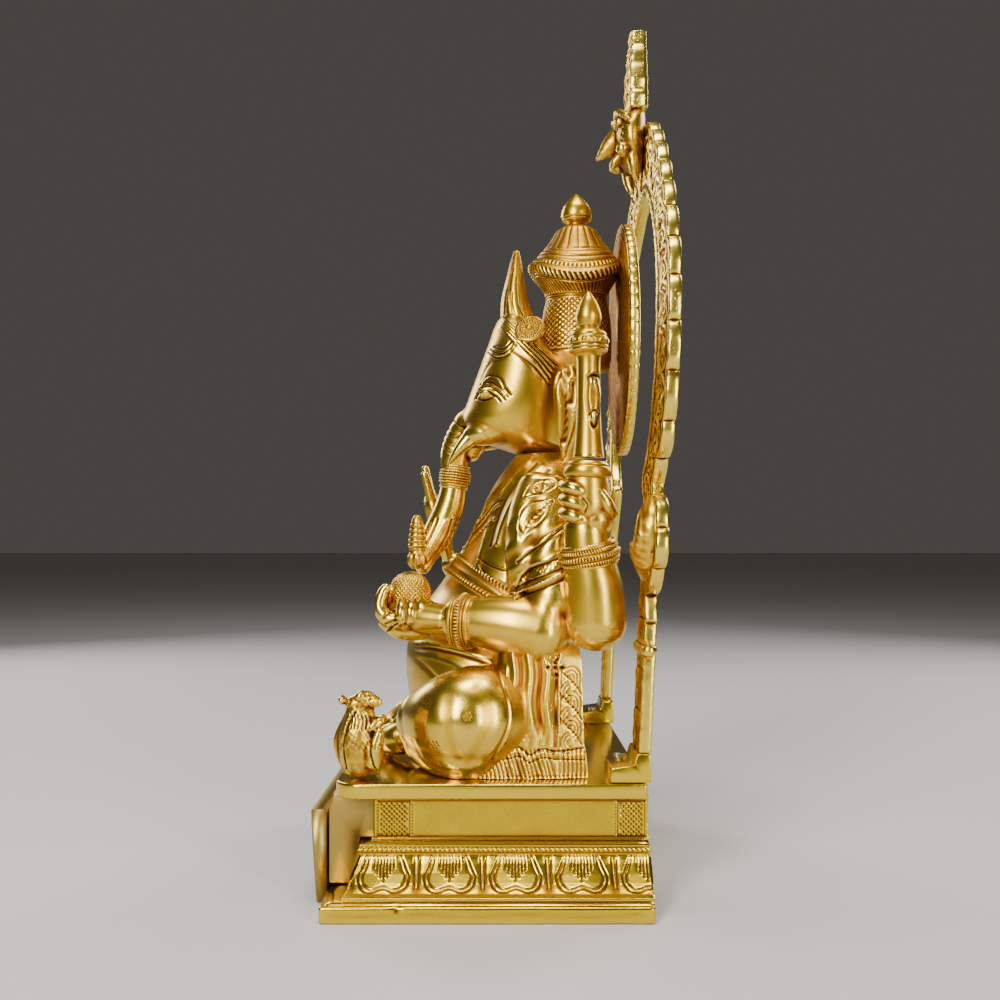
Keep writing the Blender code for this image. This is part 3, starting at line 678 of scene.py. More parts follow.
def arch_face(outer, inner, run, front):
    """The worked front of one section of the arch plate, from its inner edge to its outer one."""
    span = outer - inner
    width = np.hypot(*span)
    face = []
    for t in np.linspace(0, 1, 46):
        u = inner + span * t
        reach = width * (1 - t)
        rim = 1.1 * bell(width * t - 2.4, 2.0) - 0.7 * bell(width * t - 5.4, 0.9)
        cord = 0.5 * bell(width * t - 8.0, 1.0) * (0.5 + 0.5 * math.cos(2 * math.pi * run / 2.6))
        edge = -0.6 * bell(reach - 4.6, 0.8)
        petal = 0.0
        if width > 26:
            phase = (run / ROSETTE_PITCH) % 1.0 - 0.5
            r = math.hypot(phase * ROSETTE_PITCH, reach - 17.0)
            petal = 1.1 * math.cos(r * 1.2) * math.exp(-(r / 8.5) ** 2)
            petal += 1.3 * (math.sin(run * 0.50) * 0.5 + 0.5) * bell(reach - 8.6, 2.6)
            petal += 0.6 * math.sin(run * 0.42 + reach * 0.35) * bell(width * t - 14, 5.0)
            petal += 0.35 * math.sin(run * 1.3 - reach * 0.9) * bell(reach - 14, 5.0)
        face.append((u[0], front - rim - cord - edge - petal, u[1]))
    return face


def make_arch():
    count = 620
    outer, inner = curve_points(OUTER, count), curve_points(INNER, count)
    step = np.concatenate([[0], np.cumsum(np.hypot(*np.diff(outer, axis=0).T))])
    at = np.linspace(0, step[-1], count)
    outer = np.stack([np.interp(at, step, outer[:, k]) for k in (0, 1)], axis=1)
    inner = np.stack([np.interp(at, step, inner[:, k]) for k in (0, 1)], axis=1)
    rows = []
    for i in range(count):
        ahead = outer[min(i + 1, count - 1)] - outer[max(i - 1, 0)]
        out = np.array([ahead[1], -ahead[0]]) / np.hypot(*ahead)
        on_band = 1.0 if outer[i][1] > 150 or outer[i][0] < 60 else 0.0
        phase = abs(math.sin(math.pi * (at[i] - 6.0) / ROSETTE_PITCH))
        lift = on_band * (4.4 * phase ** 0.55 - 2.4)
        edge = outer[i] + out * lift
        back = BACK + ARCH_LEAN * (edge[1] - 82.0)
        front = back - ARCH_PLATE
        ring = arch_face(edge, inner[i], at[i], front)
        for bulge, y in ((0.35, front + 0.9), (0.5, front + 2.4), (0.5, front + 4.2), (0.3, back - 0.7)):
            x, z = edge + out * bulge
            ring.append((x, y, z))
        for t in np.linspace(1, 0, 30):
            x, z = inner[i] + (edge - inner[i]) * t
            ring.append((x, back, z))
        x, z = inner[i]
        rows.append(ring + [(x, back - 2.2, z), (x, front + 2.0, z)])
    right = np.array(rows)
    left = right[::-1][1:] * np.array([-1, 1, 1])
    form = woven(np.concatenate([right, left]))
    form.relax(1, 0.4)
    rng = np.random.default_rng(7)
    rough = rng.normal(0, 1, len(form.p))
    for _ in range(8):
        rough = form.around(rough)
    front_side = ease(-form.normals()[:, 1], 0.2, 0.6)
    form.push(0.45 * rough * (0.5 + front_side))
    for z in (104, 126, 152):
        form.push(-0.35 * bell(form.p[:, 2] - z, 0.7) * front_side)
    # The arch is darkened a little with painted shade.
    finish(form, "arch_frame_skin", RELIEF, "arch_frame", rounds=8, painted_lighting_offset=0.03)
    capital = clay([limb([(90, 75.2, 136.5, 4.6), (112, 75.2, 136.5, 4.8), (119, 75.2, 136.5, 4.2)],
                         sides=28, steps=20)],
                   0.5, 3)
    for z in (133.4, 139.6):
        capital.push(-0.5 * bell(capital.p[:, 2] - z, 0.6))
    finish_pair(capital, "arch_capital_SIDE", RELIEF)
    for side, word in ((1, "left"), (-1, "right")):
        x0, x1 = sorted((side * 75.5, side * 109.0))
        outline = [(57, 67.4), (BACK, 67.4), (BACK, 82.2), (70.5, 82.2), (69, 76.5), (57.4, 75.0)]
        finish(bevelled(prism(outline, 0, x0, x1), 0.8), "arch_foot_" + word + "_skin", PLAIN,
               "arch_foot_" + word,
               rounds=2)
    make_makaras()
    make_lion()
    make_pinnacle()


MAKARA = ((101, 78, 176, 6), (116, 76, 186, 9), (121, 77, 200, 8), (112, 79, 212, 5))


def make_makaras():
    """The scrolled beasts where the arch narrows."""
    form = clay([limb(MAKARA, sides=36, steps=40),
                 limb(((112, 74.5, 180, 4), (122, 72, 190, 4.6), (122, 72, 202, 3.6), (114, 74, 208, 2.4)),
                      sides=24),
                 ball((109, 72.5, 190), (5, 3.4, 5)), ball((112, 73, 200), (4.4, 3, 4.4)),
                 limb(((100, 76, 180, 4.6), (97, 72, 184, 3.4), (95, 70.4, 190, 2.2)), sides=20)], 0.62, 3)
    form.push(0.10 * np.sin(form.p[:, 2] * 1.1 + form.p[:, 0] * 0.9) * facing(form, 1, -1))
    marks = Marks(form, (0, 2), facing(form, 1, -1))
    for r in (2.0, 3.4):
        marks.line(arc(109, 190, r, 0, 6.0, 14), 0.5, 0.6)
    marks.strike()
    finish_pair(form, "makara_SIDE", RELIEF, "makara_SIDE")


def make_lion():
    """The lion mask over the middle of the arch, tongue out."""
    grid = stack_grid(((420, 80, 87, 9), (424, 76, 87.5, 16), (432, 71, 88, 20), (441, 70, 88.5, 20),
                       (448, 73, 89, 17), (453.6, 77, 89, 12)), 72, 60)
    parts = [woven(grid), limb(((0, 78, 443, 9), (0, 70, 437, 6.6), (0, 64.5, 431.5, 4.2),
                                (0, 60.2, 427.2, 1.6)),
                               sides=40, steps=40),
             limb(((0, 74, 429, 5), (0, 70, 424.0, 3.8), (0, 69, 421, 2.4)), sides=28, flat=0.7)]
    for side in (1, -1):
        parts += [ball((side * 8.8, 72.2, 445.5), (4.8, 3.6, 4.2)),
                  ball((side * 15.6, 73.6, 427.6), (4.2, 4.2, 4.4)),
                  limb(((1, 72.4, 449.5, 2.6), (9, 71.6, 452, 2.6), (17, 76, 447, 2.2)), side=side,
                       sides=20, steps=24),
                  limb(((14, 80, 424, 3.8), (14, 81, 417, 3.4), (12.5, 82.4, 411, 2.2)), side=side,
                       sides=20, steps=20)]
    form = clay(parts, 0.62, 7)
    marks = Marks(form, (0, 2), facing(form, 1, -1))
    for side in (1, -1):
        for r in (1.5, 2.8):
            marks.line(arc(side * 8.5, 443.5, r, 0, 6.2, 16), 0.4, 0.5)
        for k in range(7):
            marks.line([(side * (12 + k), 428 + 3 * k), (side * (16 + 0.6 * k), 424 + 3.6 * k)], 0.5, 0.5)
    marks.strike()
    form.push(0.1 * np.sin(form.p[:, 0] * 1.6) * np.sin(form.p[:, 2] * 1.4) * facing(form, 1, -1))
    finish(form, "lion_face_skin", RELIEF, "lion_face", rounds=7)


PINNACLE = ((15, 454), (16, 461), (14.5, 466), (15, 472), (13, 478), (11, 484), (10, 490), (7.5, 496),
            (6.3, 503.6))


def make_pinnacle():
    """The pointed finial that stands on the lion's head."""
    rows, rear = [], 89.5
    for half, z in curve_points(PINNACLE, 120):
        lobed = half + 0.12 * math.sin(z * 0.7)
        front = rear - 12.8 * (1 - 0.18 * ease(z, 470, 504))
        ridge = math.sin((z - 454) * 0.62) * (z < 487) - 0.8 * math.cos(z * 2.9) * (487 < z < 495)
        ring = []
        for t in np.linspace(-1, 1, 60):
            crown = (1 - t * t) * 0.8
            ring.append((t * lobed, front - crown * ridge + 1.4 * t * t + 0.4, z))
        for t in np.linspace(1, -1, 24):
            ring.append((t * lobed, rear - 0.35 * abs(math.sin((z - 454) * 0.35)), z))
        rows.append(ring)
    last = np.array(rows[-1])
    mid = last.mean(0)
    rows += [(last - mid) * inset + mid + np.array([0, 0, rise]) for inset,
             rise in ((0.95, 0.15), (0.8, 0.2))]
    form = woven(np.array(rows))
    marks = Marks(form, (0, 2), facing(form, 1, -1))
    for k in range(5):
        z = 459 + 9 * k
        for side in (1, -1):
            marks.line([(0, z), (side * 5, z + 5), (side * 9, z + 3), (side * 7, z - 2)], 0.6, 0.7)
        marks.dot((0, z + 4.5), 1.2, -0.6)
    marks.strike()
    form.relax(3, 0.5)
    finish(form, "arch_pinnacle_skin", RELIEF, "arch_pinnacle", rounds=6)


HALO_WIDE, HALO_TALL, HALO_Z = 63, 70, 315


def make_halo():
    """The engraved plate behind the head, its edge nicked all round."""
    a = circle(54 * 12)
    nick = 0.55 + 0.45 * np.abs(np.sin(27 * a)) ** 0.5

    def ring(r, edge, y):
        x, z = (HALO_WIDE * r + edge) * np.cos(a), HALO_Z + (HALO_TALL * r + edge) * np.sin(a)
        return np.column_stack([x, y + np.zeros(len(a)), z])

    rows = []
    for r in np.linspace(0.04, 1, 70):
        gap = 66 * (1 - r)
        y = 72.5 + 0.9 * bell(gap, 0.7) + 0.45 * bell(gap - 6.0, 0.7)
        y = y + 0.5 * (0.5 + 0.5 * np.cos(54 * a)) * bell(gap - 3.4, 1.2)
        y = y + 0.35 * np.abs(np.sin(18 * a)) ** 0.5 * ease(gap, 8, 11) * (0.6 + 0.4 * math.cos(gap * 0.8))
        rows.append(ring(r, (nick - 1) * 1.5 * ease(r, 0.93, 1.0), y))
    for r, y in ((1, 75.5), (1, 77.8), (0.985, 78.4), (0.9, 78.4), (0.6, 78.4), (0.3, 78.4), (0.04, 78.4)):
        rows.append(ring(r, (nick - 1) * 1.5 * (r > 0.95), y))
    form = woven(np.array(rows))
    # The halo is darkened with painted shade.
    finish(form, "halo_plate_skin", RELIEF, "halo_plate", rounds=5, painted_lighting_offset=0.07)


# ---- the figure --------------------------------------------------------------------------------
def lathe(stations, centre, around=360, steps=160, marks=None, back=np.inf):
    """A turned casting of (radius, height) stations, worked by marks(angles, height) and cut flat at back."""
    a = circle(around)
    rows = [hoop(a, max(r, 0.05) + marks(a, h), h, *centre) for r, h in curve_points(stations, steps)]
    return woven(np.minimum(np.array(rows), (np.inf, back, np.inf)))


def fade(h, low, high, soft=0.5):
    """1 between two heights, easing to 0 beyond them."""
    return ease(h, low - soft, low) * (1 - ease(h, high, high + soft))


def sag(form):
    """The crown's brim droops over the ears and rises before and behind."""
    p = form.p
    reach = ease(p[:, 2], 336, 354) * (1 - ease(p[:, 2], 362, 384))
    p[:, 2] -= 11.0 * (p[:, 0] / 29.0) ** 2 * reach


CROWN_AT, CROWN_BACK = (0, 47), 72.1


def make_crown():
    def drum_marks(a, h):
        out = np.zeros(len(a))
        mesh = np.maximum(bell((np.mod(a * 16 / math.pi + h / 3.2, 1) - 0.5), 0.16),
                          bell((np.mod(a * 16 / math.pi - h / 3.2, 1) - 0.5), 0.16))
        out -= 0.42 * mesh * fade(h, 309, 338)
        stroke = bell(np.mod(a * 30 / math.pi + h * 0.12, 1) - 0.5, 0.2)
        out -= 0.5 * stroke * fade(h, 343, 353)
        for ring in (307, 340, 341.6, 354.5):
            out -= 0.5 * bell(h - ring, 0.45)
        return out

    drum = lathe(((20.0, 297), (21.6, 306), (21.4, 322), (20.2, 333), (19.0, 339), (19.6, 344), (23.0, 349.8),
                  (26.3, 355.4)), CROWN_AT, marks=drum_marks, back=CROWN_BACK)
    sag(drum)
    finish(drum, "crown_drum_skin", RELIEF, "crown_drum", rounds=5)

    def dome_marks(a, h):
        out = np.zeros(len(a))
        rope = np.cos(a * 56 + (h - 359) * 0.9)
        out += 0.45 * rope * fade(h, 356.6, 361.4, 0.4)
        for ring in (362.7, 365.2, 367.4, 369.4):
            out -= 0.45 * bell(h - ring, 0.42)
        out += 0.35 * np.cos(a * 60) * fade(h, 363.4, 364.6, 0.2)
        out += 0.55 * (np.abs(np.sin(a * 9)) ** 0.6 - 0.6) * fade(h, 371, 382.5, 1.2)
        out -= 0.4 * bell(h - 370.6, 0.5)
        return out

    dome = lathe(((26.5, 355.9), (28.2, 356.9), (29.2, 359.2), (29.0, 361.6), (27.6, 362.8), (26.8, 363.4),
                  (25.0, 365.2), (22.4, 368.6), (20.4, 370.6), (18.6, 372.6), (16.6, 375.4), (14.5, 378.6),
                  (12.0, 382.4), (9.0, 384.4), (7, 385.6)), CROWN_AT, steps=220, marks=dome_marks,
                 back=CROWN_BACK)
    sag(dome)
    finish(dome, "crown_dome_skin", RELIEF, "crown_dome", rounds=5)
    knob = lathe(((5, 386), (5.6, 387.0), (8.5, 388.6), (9.5, 392), (8.3, 397), (4.8, 401.8), (1, 405.4)),
                 CROWN_AT, 160,
                 90, lambda a, h: -0.45 * bell(h - 390.0, 0.35))
    finish(knob, "crown_finial_skin", FIGURE, "crown_finial", rounds=6)


def make_crest():
    """The tall leaf that rises from the brow."""
    stations = ((0, 11.0, 316, 12.8), (0, 11.0, 326, 12.2), (0, 9.4, 340, 9.6), (0, 9.7, 354, 6.0),
                (0, 10.2, 364, 3.7),
                (0, 10.4, 369.4, 1.9))
    form = limb(stations, sides=96, steps=130, flat=0.85)
    marks = Marks(form, (1, 2), facing(form, 0, 0))
    for path in ([(7.8, 358.8), (6.0, 348.1), (6.0, 337.3), (7.8, 326.6)],
                 [(10.2, 352.8), (10.2, 343.3), (10.8, 336.1), (13.7, 329.0)],
                 [(7.2, 343.3), (7.2, 336.1), (9.0, 329.0)], [(4.2, 345.1), (3.0, 333.1), (3.0, 324.2)]):
        marks.line(path, 0.6, 0.34)
    marks.strike()
    form.push(0.5 * bell(form.p[:, 0], 1.4) * ease(-form.normals()[:, 1], 0.4, 0.8))
    finish(form, "crest_leaf_skin", RELIEF, "crest_leaf", rounds=8)


def make_head():
    """Head, brow, tusk sheaths and trunk in one skin, with the band and the folds about the eye."""
    skull = woven(stack_grid(((245.0, 12, 38, 15), (249, 0, 42, 22), (256, -19.5, 44, 28),
                              (264, -24.5, 45, 31.5),
                              (276, -20.5, 46, 33.6), (290, -15.5, 46, 34), (298, -12.5, 43, 33.4),
                              (304, -10.5, 37, 32), (310, -8.2, 31, 30), (316, -6, 26, 26.6),
                              (322, -4, 20, 21.6),
                              (328, -1, 15, 15), (331.3, 3, 12, 8)), 96, 90))
    parts = [skull,
             limb(((0, -17, 262, 12.6), (0, -23.5, 254, 10.8), (0, -27.0, 246.5, 9.6), (0, -28.2, 238, 8.2),
                   (0, -28, 231, 7.6), (0, -29.4, 220, 8.3), (0, -32.5, 209, 9.1), (1, -38, 197, 9.2),
                   (2.4, -43.4, 187.4, 8.0), (4, -47.3, 176.6, 4.9)), sides=48, steps=90)]
    for side in (1, -1):
        parts += [limb(((18, 2, 261, 9.5), (17, -9, 257.5, 8.6), (15.6, -17, 255, 6.4),
                        (15.4, -21, 252, 4.6)),
                       side=side, sides=32, steps=30),
                  ball((side * 27.2, -7.6, 280.0), (3.0, 6.0, 3.6), ("Y", side * 6)),
                  limb(((8, -14, 250, 5), (5, -16, 246.4, 4.4), (0, -17, 245, 4)), side=side, sides=20)]
    form = clay(parts, 0.7, 6)
    form.relax(14, 0.6, (form.p[:, 2] > 244) * (form.p[:, 2] < 335) * 1.0)
    side = facing(form, 0, 0, 0.12, 0.4)
    marks = Marks(form, (1, 2), side * (form.p[:, 2] > 240))
    lid = [(-14.6, 277.6), (-12.9, 279.9), (-9.9, 281.4), (-6.4, 280.5), (-3.5, 277.9)]
    lower = [(-14.6, 277.6), (-11.7, 276.0), (-8.2, 275.5), (-5.3, 276.2), (-3.5, 277.9)]
    marks.line(lid, 0.55, 0.85)
    marks.line(lower, 0.45, 0.6)
    marks.dot((-8.5, 278.5), 2.0, -0.55)
    marks.dot((-8.7, 278.4), 0.7, 0.5)
    marks.lines(
        ([(-11.7, 285.5), (-9.4, 288.7), (-5.9, 290.2), (-2.9, 289.3)], 0.6, 0.45),
        ([(-12.3, 282.9), (-9.4, 285.2), (-5.9, 285.8), (-2.3, 283.5), (1.8, 279.9), (4.7, 276.7)], 0.55,
         0.5),
        ([(-13.5, 280.5), (-10.5, 282.9), (-7.0, 283.5), (-3.5, 281.7), (0.6, 277.6), (2.9, 275.0)], 0.5,
         0.5),
        ([(-5.9, 279.9), (-2.3, 277.0), (0.0, 274.4)], 0.5, 0.6),
        ([(-2.3, 289.3), (0.6, 287.0), (2.3, 284.0), (4.1, 280.5), (6.4, 277.6)], 0.6, 0.5))
    marks.line([(-10.5, 287.0), (-7.0, 288.5), (-3.5, 287.9), (-0.6, 285.6), (1.8, 282.3)], 1.5, -0.55)
    marks.line([(-11.7, 283.9), (-8.2, 285.5), (-4.1, 284.3), (0.0, 281.2), (3.5, 278.2)], 0.8, -0.45)
    for path in ([(-7.6, 306.3), (-4.1, 301.9), (0.0, 300.4), (4.7, 302.2), (9.4, 308.0)],
                 [(-5.9, 307.2), (-2.3, 303.6), (1.8, 302.9), (5.3, 304.8), (8.2, 308.6)],
                 [(-3.5, 308.0), (0.0, 305.7), (3.5, 306.6), (6.4, 309.2)]):
        marks.line(path, 0.6, 0.75)
    marks.line([(-6.4, 306.6), (-2.9, 302.8), (1.2, 301.6), (5.9, 303.9), (9.4, 308.9)], 0.85, -0.6)
    for path in ([(-9.4, 302.8), (-11.7, 296.9), (-12.9, 291.1)],
                 [(-5.9, 298.1), (-9.4, 293.4), (-11.7, 287.6)]):
        marks.line(path, 0.9, 0.3)
    marks.strike()
    band_top, band_low = [(4.1, 323.8), (14.0, 315.1), (24.0, 305.7), (33.9, 297.5)], [(0.6, 320.3),
            (9.9, 308.0), (19.9, 297.5), (28.7, 285.8)]
    over = facing(form, 0, 0, 0.02, 0.2)
    strap = Marks(form, (1, 2), over)
    for k in range(9):
        t = k / 8
        path = [tuple(np.array(a) * (1 - t) + np.array(b) * t) for a, b in zip(band_top, band_low)]
        if k % 2:
            strap.line(path, 0.6, 0.6)
        else:
            strap.line(path, 1.0, -0.6)
    strap.line([(6.4, 303.9), (13.5, 299.3), (22.2, 291.7), (29.3, 284.0)], 0.9, 0.4)
    strap.strike()
    folds = Marks(form, (1, 2), (form.p[:, 2] > 235) * (form.p[:, 1] < 2) * 1.0)
    for path, depth in (([(-34.4, 258.5), (-30.7, 255.5), (-26.5, 254.9), (-22.3, 257.3)], 0.45),
                        ([(-33.2, 262.7), (-28.9, 259.1), (-24.1, 258.5)], 0.35),
                        ([(-35.7, 255.1), (-32.6, 251.5), (-28.4, 249.6), (-25.4, 250.9)], 0.4),
                        ([(-36.3, 250.9), (-32.6, 247.2), (-30.2, 246.0)], 0.35),
                        ([(-28.9, 266.9), (-25.3, 262.7), (-21.1, 260.9)], 0.5)):
        folds.line(path, 0.9, depth)
    folds.line([(-20.4, 258.7), (-15.6, 259.9), (-10.8, 257.5), (-7.2, 252.7)], 1.4, 0.2)
    folds.strike()
    tip = Marks(form, (1, 2), facing(form, 0, 0, 0.1, 0.4) * (form.p[:, 2] < 216))
    tip.line([(-32.8, 204.4), (-36.5, 198.3), (-41.4, 189.2), (-46.8, 180.7), (-49.9, 175.8)], 0.9, -0.7)
    tip.line([(-38.3, 205.6), (-41.4, 197.7), (-46.2, 188.6), (-49.9, 181.9)], 0.9, 0.5)
    tip.line([(-29.2, 205.0), (-31.6, 197.1), (-36.5, 188.0), (-43.8, 178.8)], 0.9, 0.4)
    tip.strike()
    finish(form, "head_skin", FIGURE, "head", "trunk", rounds=14)
    band = sleeve((0, -27.8, 231.5), (0, 0.12, 1), 9.4, 15, 6.6, ribs=9)
    finish(band, "trunk_band_skin", FIGURE, "trunk_band", rounds=6)
    whole = ((14.6, -13, 257.4, 5.6), (16.8, -19.8, 252.0, 4.6), (17.6, -26, 245.0, 2.9),
             (17.6, -30.6, 238.6, 0.8))
    broken = ((14.6, -14, 256.4, 4.3), (16.0, -20, 251, 3.5), (16.5, -24, 246.8, 2.2))
    for side, word, stations in ((1, "tusk_left", whole), (-1, "tusk_right", broken)):
        finish(limb(stations, side=side, sides=40, steps=40), word + "_skin", FIGURE, word)


def sleeve(centre, axis, radius, width, inner, ribs=0, beads=0, dome=0.9, bead_size=0.8, rope=0):
    """A ring round a limb: plain rims with ribs, beads or rope worked between them."""
    a = circle(320)
    rows = []
    for t in np.linspace(-1, 1, 61):
        h = t * width / 2
        base = radius - dome * t * t - 0.8 * ease(abs(t), 0.93, 1.0)
        rim_gap = (1 - abs(t)) * width / 2
        r = np.full(len(a), base - 0.7 * bell(rim_gap - 2.53, 0.5))
        if ribs:
            r += 0.38 * math.cos(ribs * math.pi * t) * ease(1 - abs(t), 0.1, 0.2)
            r += 0.14 * np.cos(a * 40) * math.cos(ribs * math.pi * t)
        if beads:
            r += bead_size * (0.5 + 0.5 * np.cos(a * beads)) * bell(h, 0.95) - 0.5 * bell(abs(h) - 2.0, 0.5)
        if rope:
            r += 0.5 * np.cos(a * rope + h * 1.2) * bell(abs(h) - width * 0.27, 1.0)
        rows.append(hoop(a, r, h))
    rows += [hoop(a, inner, t * width / 2 * 0.98) for t in (1, 0.3, -0.3, -1)]
    return woven(np.array(rows) @ swing(axis).T + np.array(centre, float), close_u=True)


def make_ears():
    levels = ((233, 41, 45, 34), (234.4, 39.4, 46.6, 35), (237, 38, 48, 36.2), (248, 34.4, 51.4, 38.6),
              (266, 32, 52, 42), (281, 31, 49.4, 42.8), (290, 33, 45.6, 41.2), (293, 36, 42, 39))
    rings, inner = [], 32.0
    a = circle(120)
    for z, front, back, out in curve_points(levels, 110):
        mid, half = (front + back) / 2, (back - front) / 2
        thick = (out - inner) / 2
        y = mid + half * np.sign(np.cos(a)) * np.abs(np.cos(a)) ** 0.8
        x = inner + thick + thick * np.sign(np.sin(a)) * np.abs(np.sin(a)) ** 0.8
        rings.append(np.column_stack([x, y, np.full(len(a), z)]))
    form = woven(np.array(rings))
    marks = Marks(form, (1, 2), facing(form, 0, 1))
    marks.line([(34.7, 290.0), (31.8, 282.4), (31.2, 270.9), (31.8, 259.3), (33.6, 248.9), (35.9, 240.8)],
               0.7, 0.7)
    marks.line([(33.0, 290.0), (30.4, 282.4), (29.5, 270.9), (30.1, 257.6), (32.4, 247.1)], 0.8, -0.6)
    marks.line([(44.6, 285.3), (45.4, 276.6), (44.6, 265.1), (41.7, 253.5), (38.2, 243.7)], 0.7, 0.6)
    marks.line([(34.7, 287.6), (36.5, 278.4), (38.2, 271.4), (38.2, 262.2), (36.5, 250.6)], 3.0, 1.6)
    marks.line([(38.2, 290.0), (41.7, 285.3), (42.2, 278.4), (41.1, 272.6)], 2.0, 1.0)
    marks.line([(39.9, 294.0), (41.7, 290.0), (41.1, 285.3)], 1.8, -1.1)
    for k in range(9):
        z = 240 + 5 * k
        marks.line([(36.4 + 0.2 * k, z), (38.6, z + 2.4)], 0.4, 0.4)
    marks.strike()
    form.relax(1, 0.4)
    finish_pair(form, "ear_SIDE", RELIEF, "ear_SIDE", rounds=8)


def make_rosettes():
    """The ringed boss at each end of the head band."""
    spin = swing(Vector((1, -0.2, 0.5)).normalized())
    a = circle(200)
    rows = []
    for r in np.linspace(0.03, 1, 60):
        gap = r * 8.8
        h = 2.6 - 1.5 * r ** 3 + 0.8 * bell(gap, 1.5) - 0.6 * bell(gap - 2.3, 0.5)
        h = h + 0.5 * np.cos(a * 14) * bell(gap - 4.2, 1.1) - 0.5 * bell(gap - 5.8, 0.4)
        h = h + 0.35 * np.cos(a * 34) * bell(gap - 7.0, 0.8)
        rows.append(hoop(a, gap, h))
    rows += [hoop(a, r, h) for r, h in ((8.9, 0.0), (8.7, -2.0), (8.0, -2.5), (4.0, -2.5), (0.3, -2.5))]
    form = woven(np.array(rows) @ spin.T + np.array((28.6, 17.5, 317)))
    finish_pair(form, "rosette_SIDE", RELIEF, "rosette_SIDE", rounds=6)


def make_torso():
    body = woven(stack_grid((
        (67.4, -44, 43, 62), (74, -50, 44, 70), (92, -54, 45, 72), (112, -57, 46, 71), (130, -56.5, 50, 68),
        (150, -48, 57, 63), (168, -35, 59, 60), (184, -24, 58.5, 60), (200, -15.5, 58, 61), (216, -9, 56, 61),
        (228, -2.5, 53, 54), (238, 4.5, 50, 42), (244.5, 9, 47, 29)), 128, 150))
    form = clay([body, ball((30, -32, 92), (36, 18, 20)), ball((-30, -32, 92), (36, 18, 20))], 0.85, 8)
    side = facing(form, 0, 0, 0.05, 0.8) * (form.p[:, 2] < 246)
    marks = Marks(form, (1, 2), side)
    marks.lines(
        ([(17.8, 239.2), (7.5, 229.5), (-0.6, 216.8), (-6.3, 203.1), (-10.3, 188.1), (-12.6, 177.8)], 1.9,
         -1.5),
        ([(21.2, 236.9), (11.5, 227.2), (3.4, 215.7), (-2.3, 201.9), (-5.7, 189.3)], 1.0, 0.7),
        ([(24.1, 235.2), (14.9, 225.4), (6.9, 214.0), (1.1, 200.8), (-1.7, 190.4)], 1.5, -1.1),
        ([(28.1, 232.9), (18.9, 224.3), (10.9, 213.4), (5.2, 201.9)], 1.0, 0.5),
        ([(-50.2, 132.4), (-40.2, 133.5), (-29.0, 132.4), (-17.9, 130.1), (-5.6, 126.8)], 1.6, -0.5),
        ([(-49.1, 129.6), (-39.1, 130.7), (-27.9, 129.6), (-16.8, 127.3), (-6.7, 124.0)], 1.3, 0.4),
        ([(-48.0, 123.4), (-42.4, 120.1), (-35.7, 114.0), (-33.5, 107.8)], 1.5, 0.35),
        ([(-44.7, 126.8), (-33.5, 125.7), (-21.2, 121.8), (-13.4, 116.7)], 1.6, -0.35),
        ([(4.0, 193.8), (4.5, 183.6), (4.5, 171.1), (4.5, 158.6)], 0.8, 0.6),
        ([(-11.9, 181.9), (-6.2, 178.5), (-0.6, 176.2), (4.5, 175.1)], 0.6, 0.5),
        ([(-11.4, 177.9), (-5.7, 170.0), (0.0, 164.3), (4.5, 159.8)], 0.7, 0.5),
        ([(10.2, 180.2), (7.9, 172.8), (6.2, 164.3)], 0.7, 0.5), count=36)
    marks.strike()
    front = Marks(form, (0, 2), facing(form, 1, -1, 0.3, 0.6))
    for r, depth in ((0, -1.1), (4.4, -0.9)):
        front.line([(x, 222 - r - 26 * math.cos(x / 46 * 1.3) + 4) for x in range(-44, 45, 8)], 1.2, depth)
    front.dots([(x, 213.6 - 26 * math.cos(x / 46 * 1.3)) for x in range(-44, 45, 8)], 3.6, 1.1, -0.9)
    front.line([(-2.6, 134), (0, 132.6), (2.6, 134)], 1.6, 1.8)
    front.line([(-24, 152), (0, 147), (24, 152)], 1.0, 0.5)
    front.line([(30, 226), (10, 190), (-18, 160), (-42, 136)], 1.0, -0.8)
    front.strike()
    finish(form, "torso_skin", FIGURE, "torso", rounds=14)


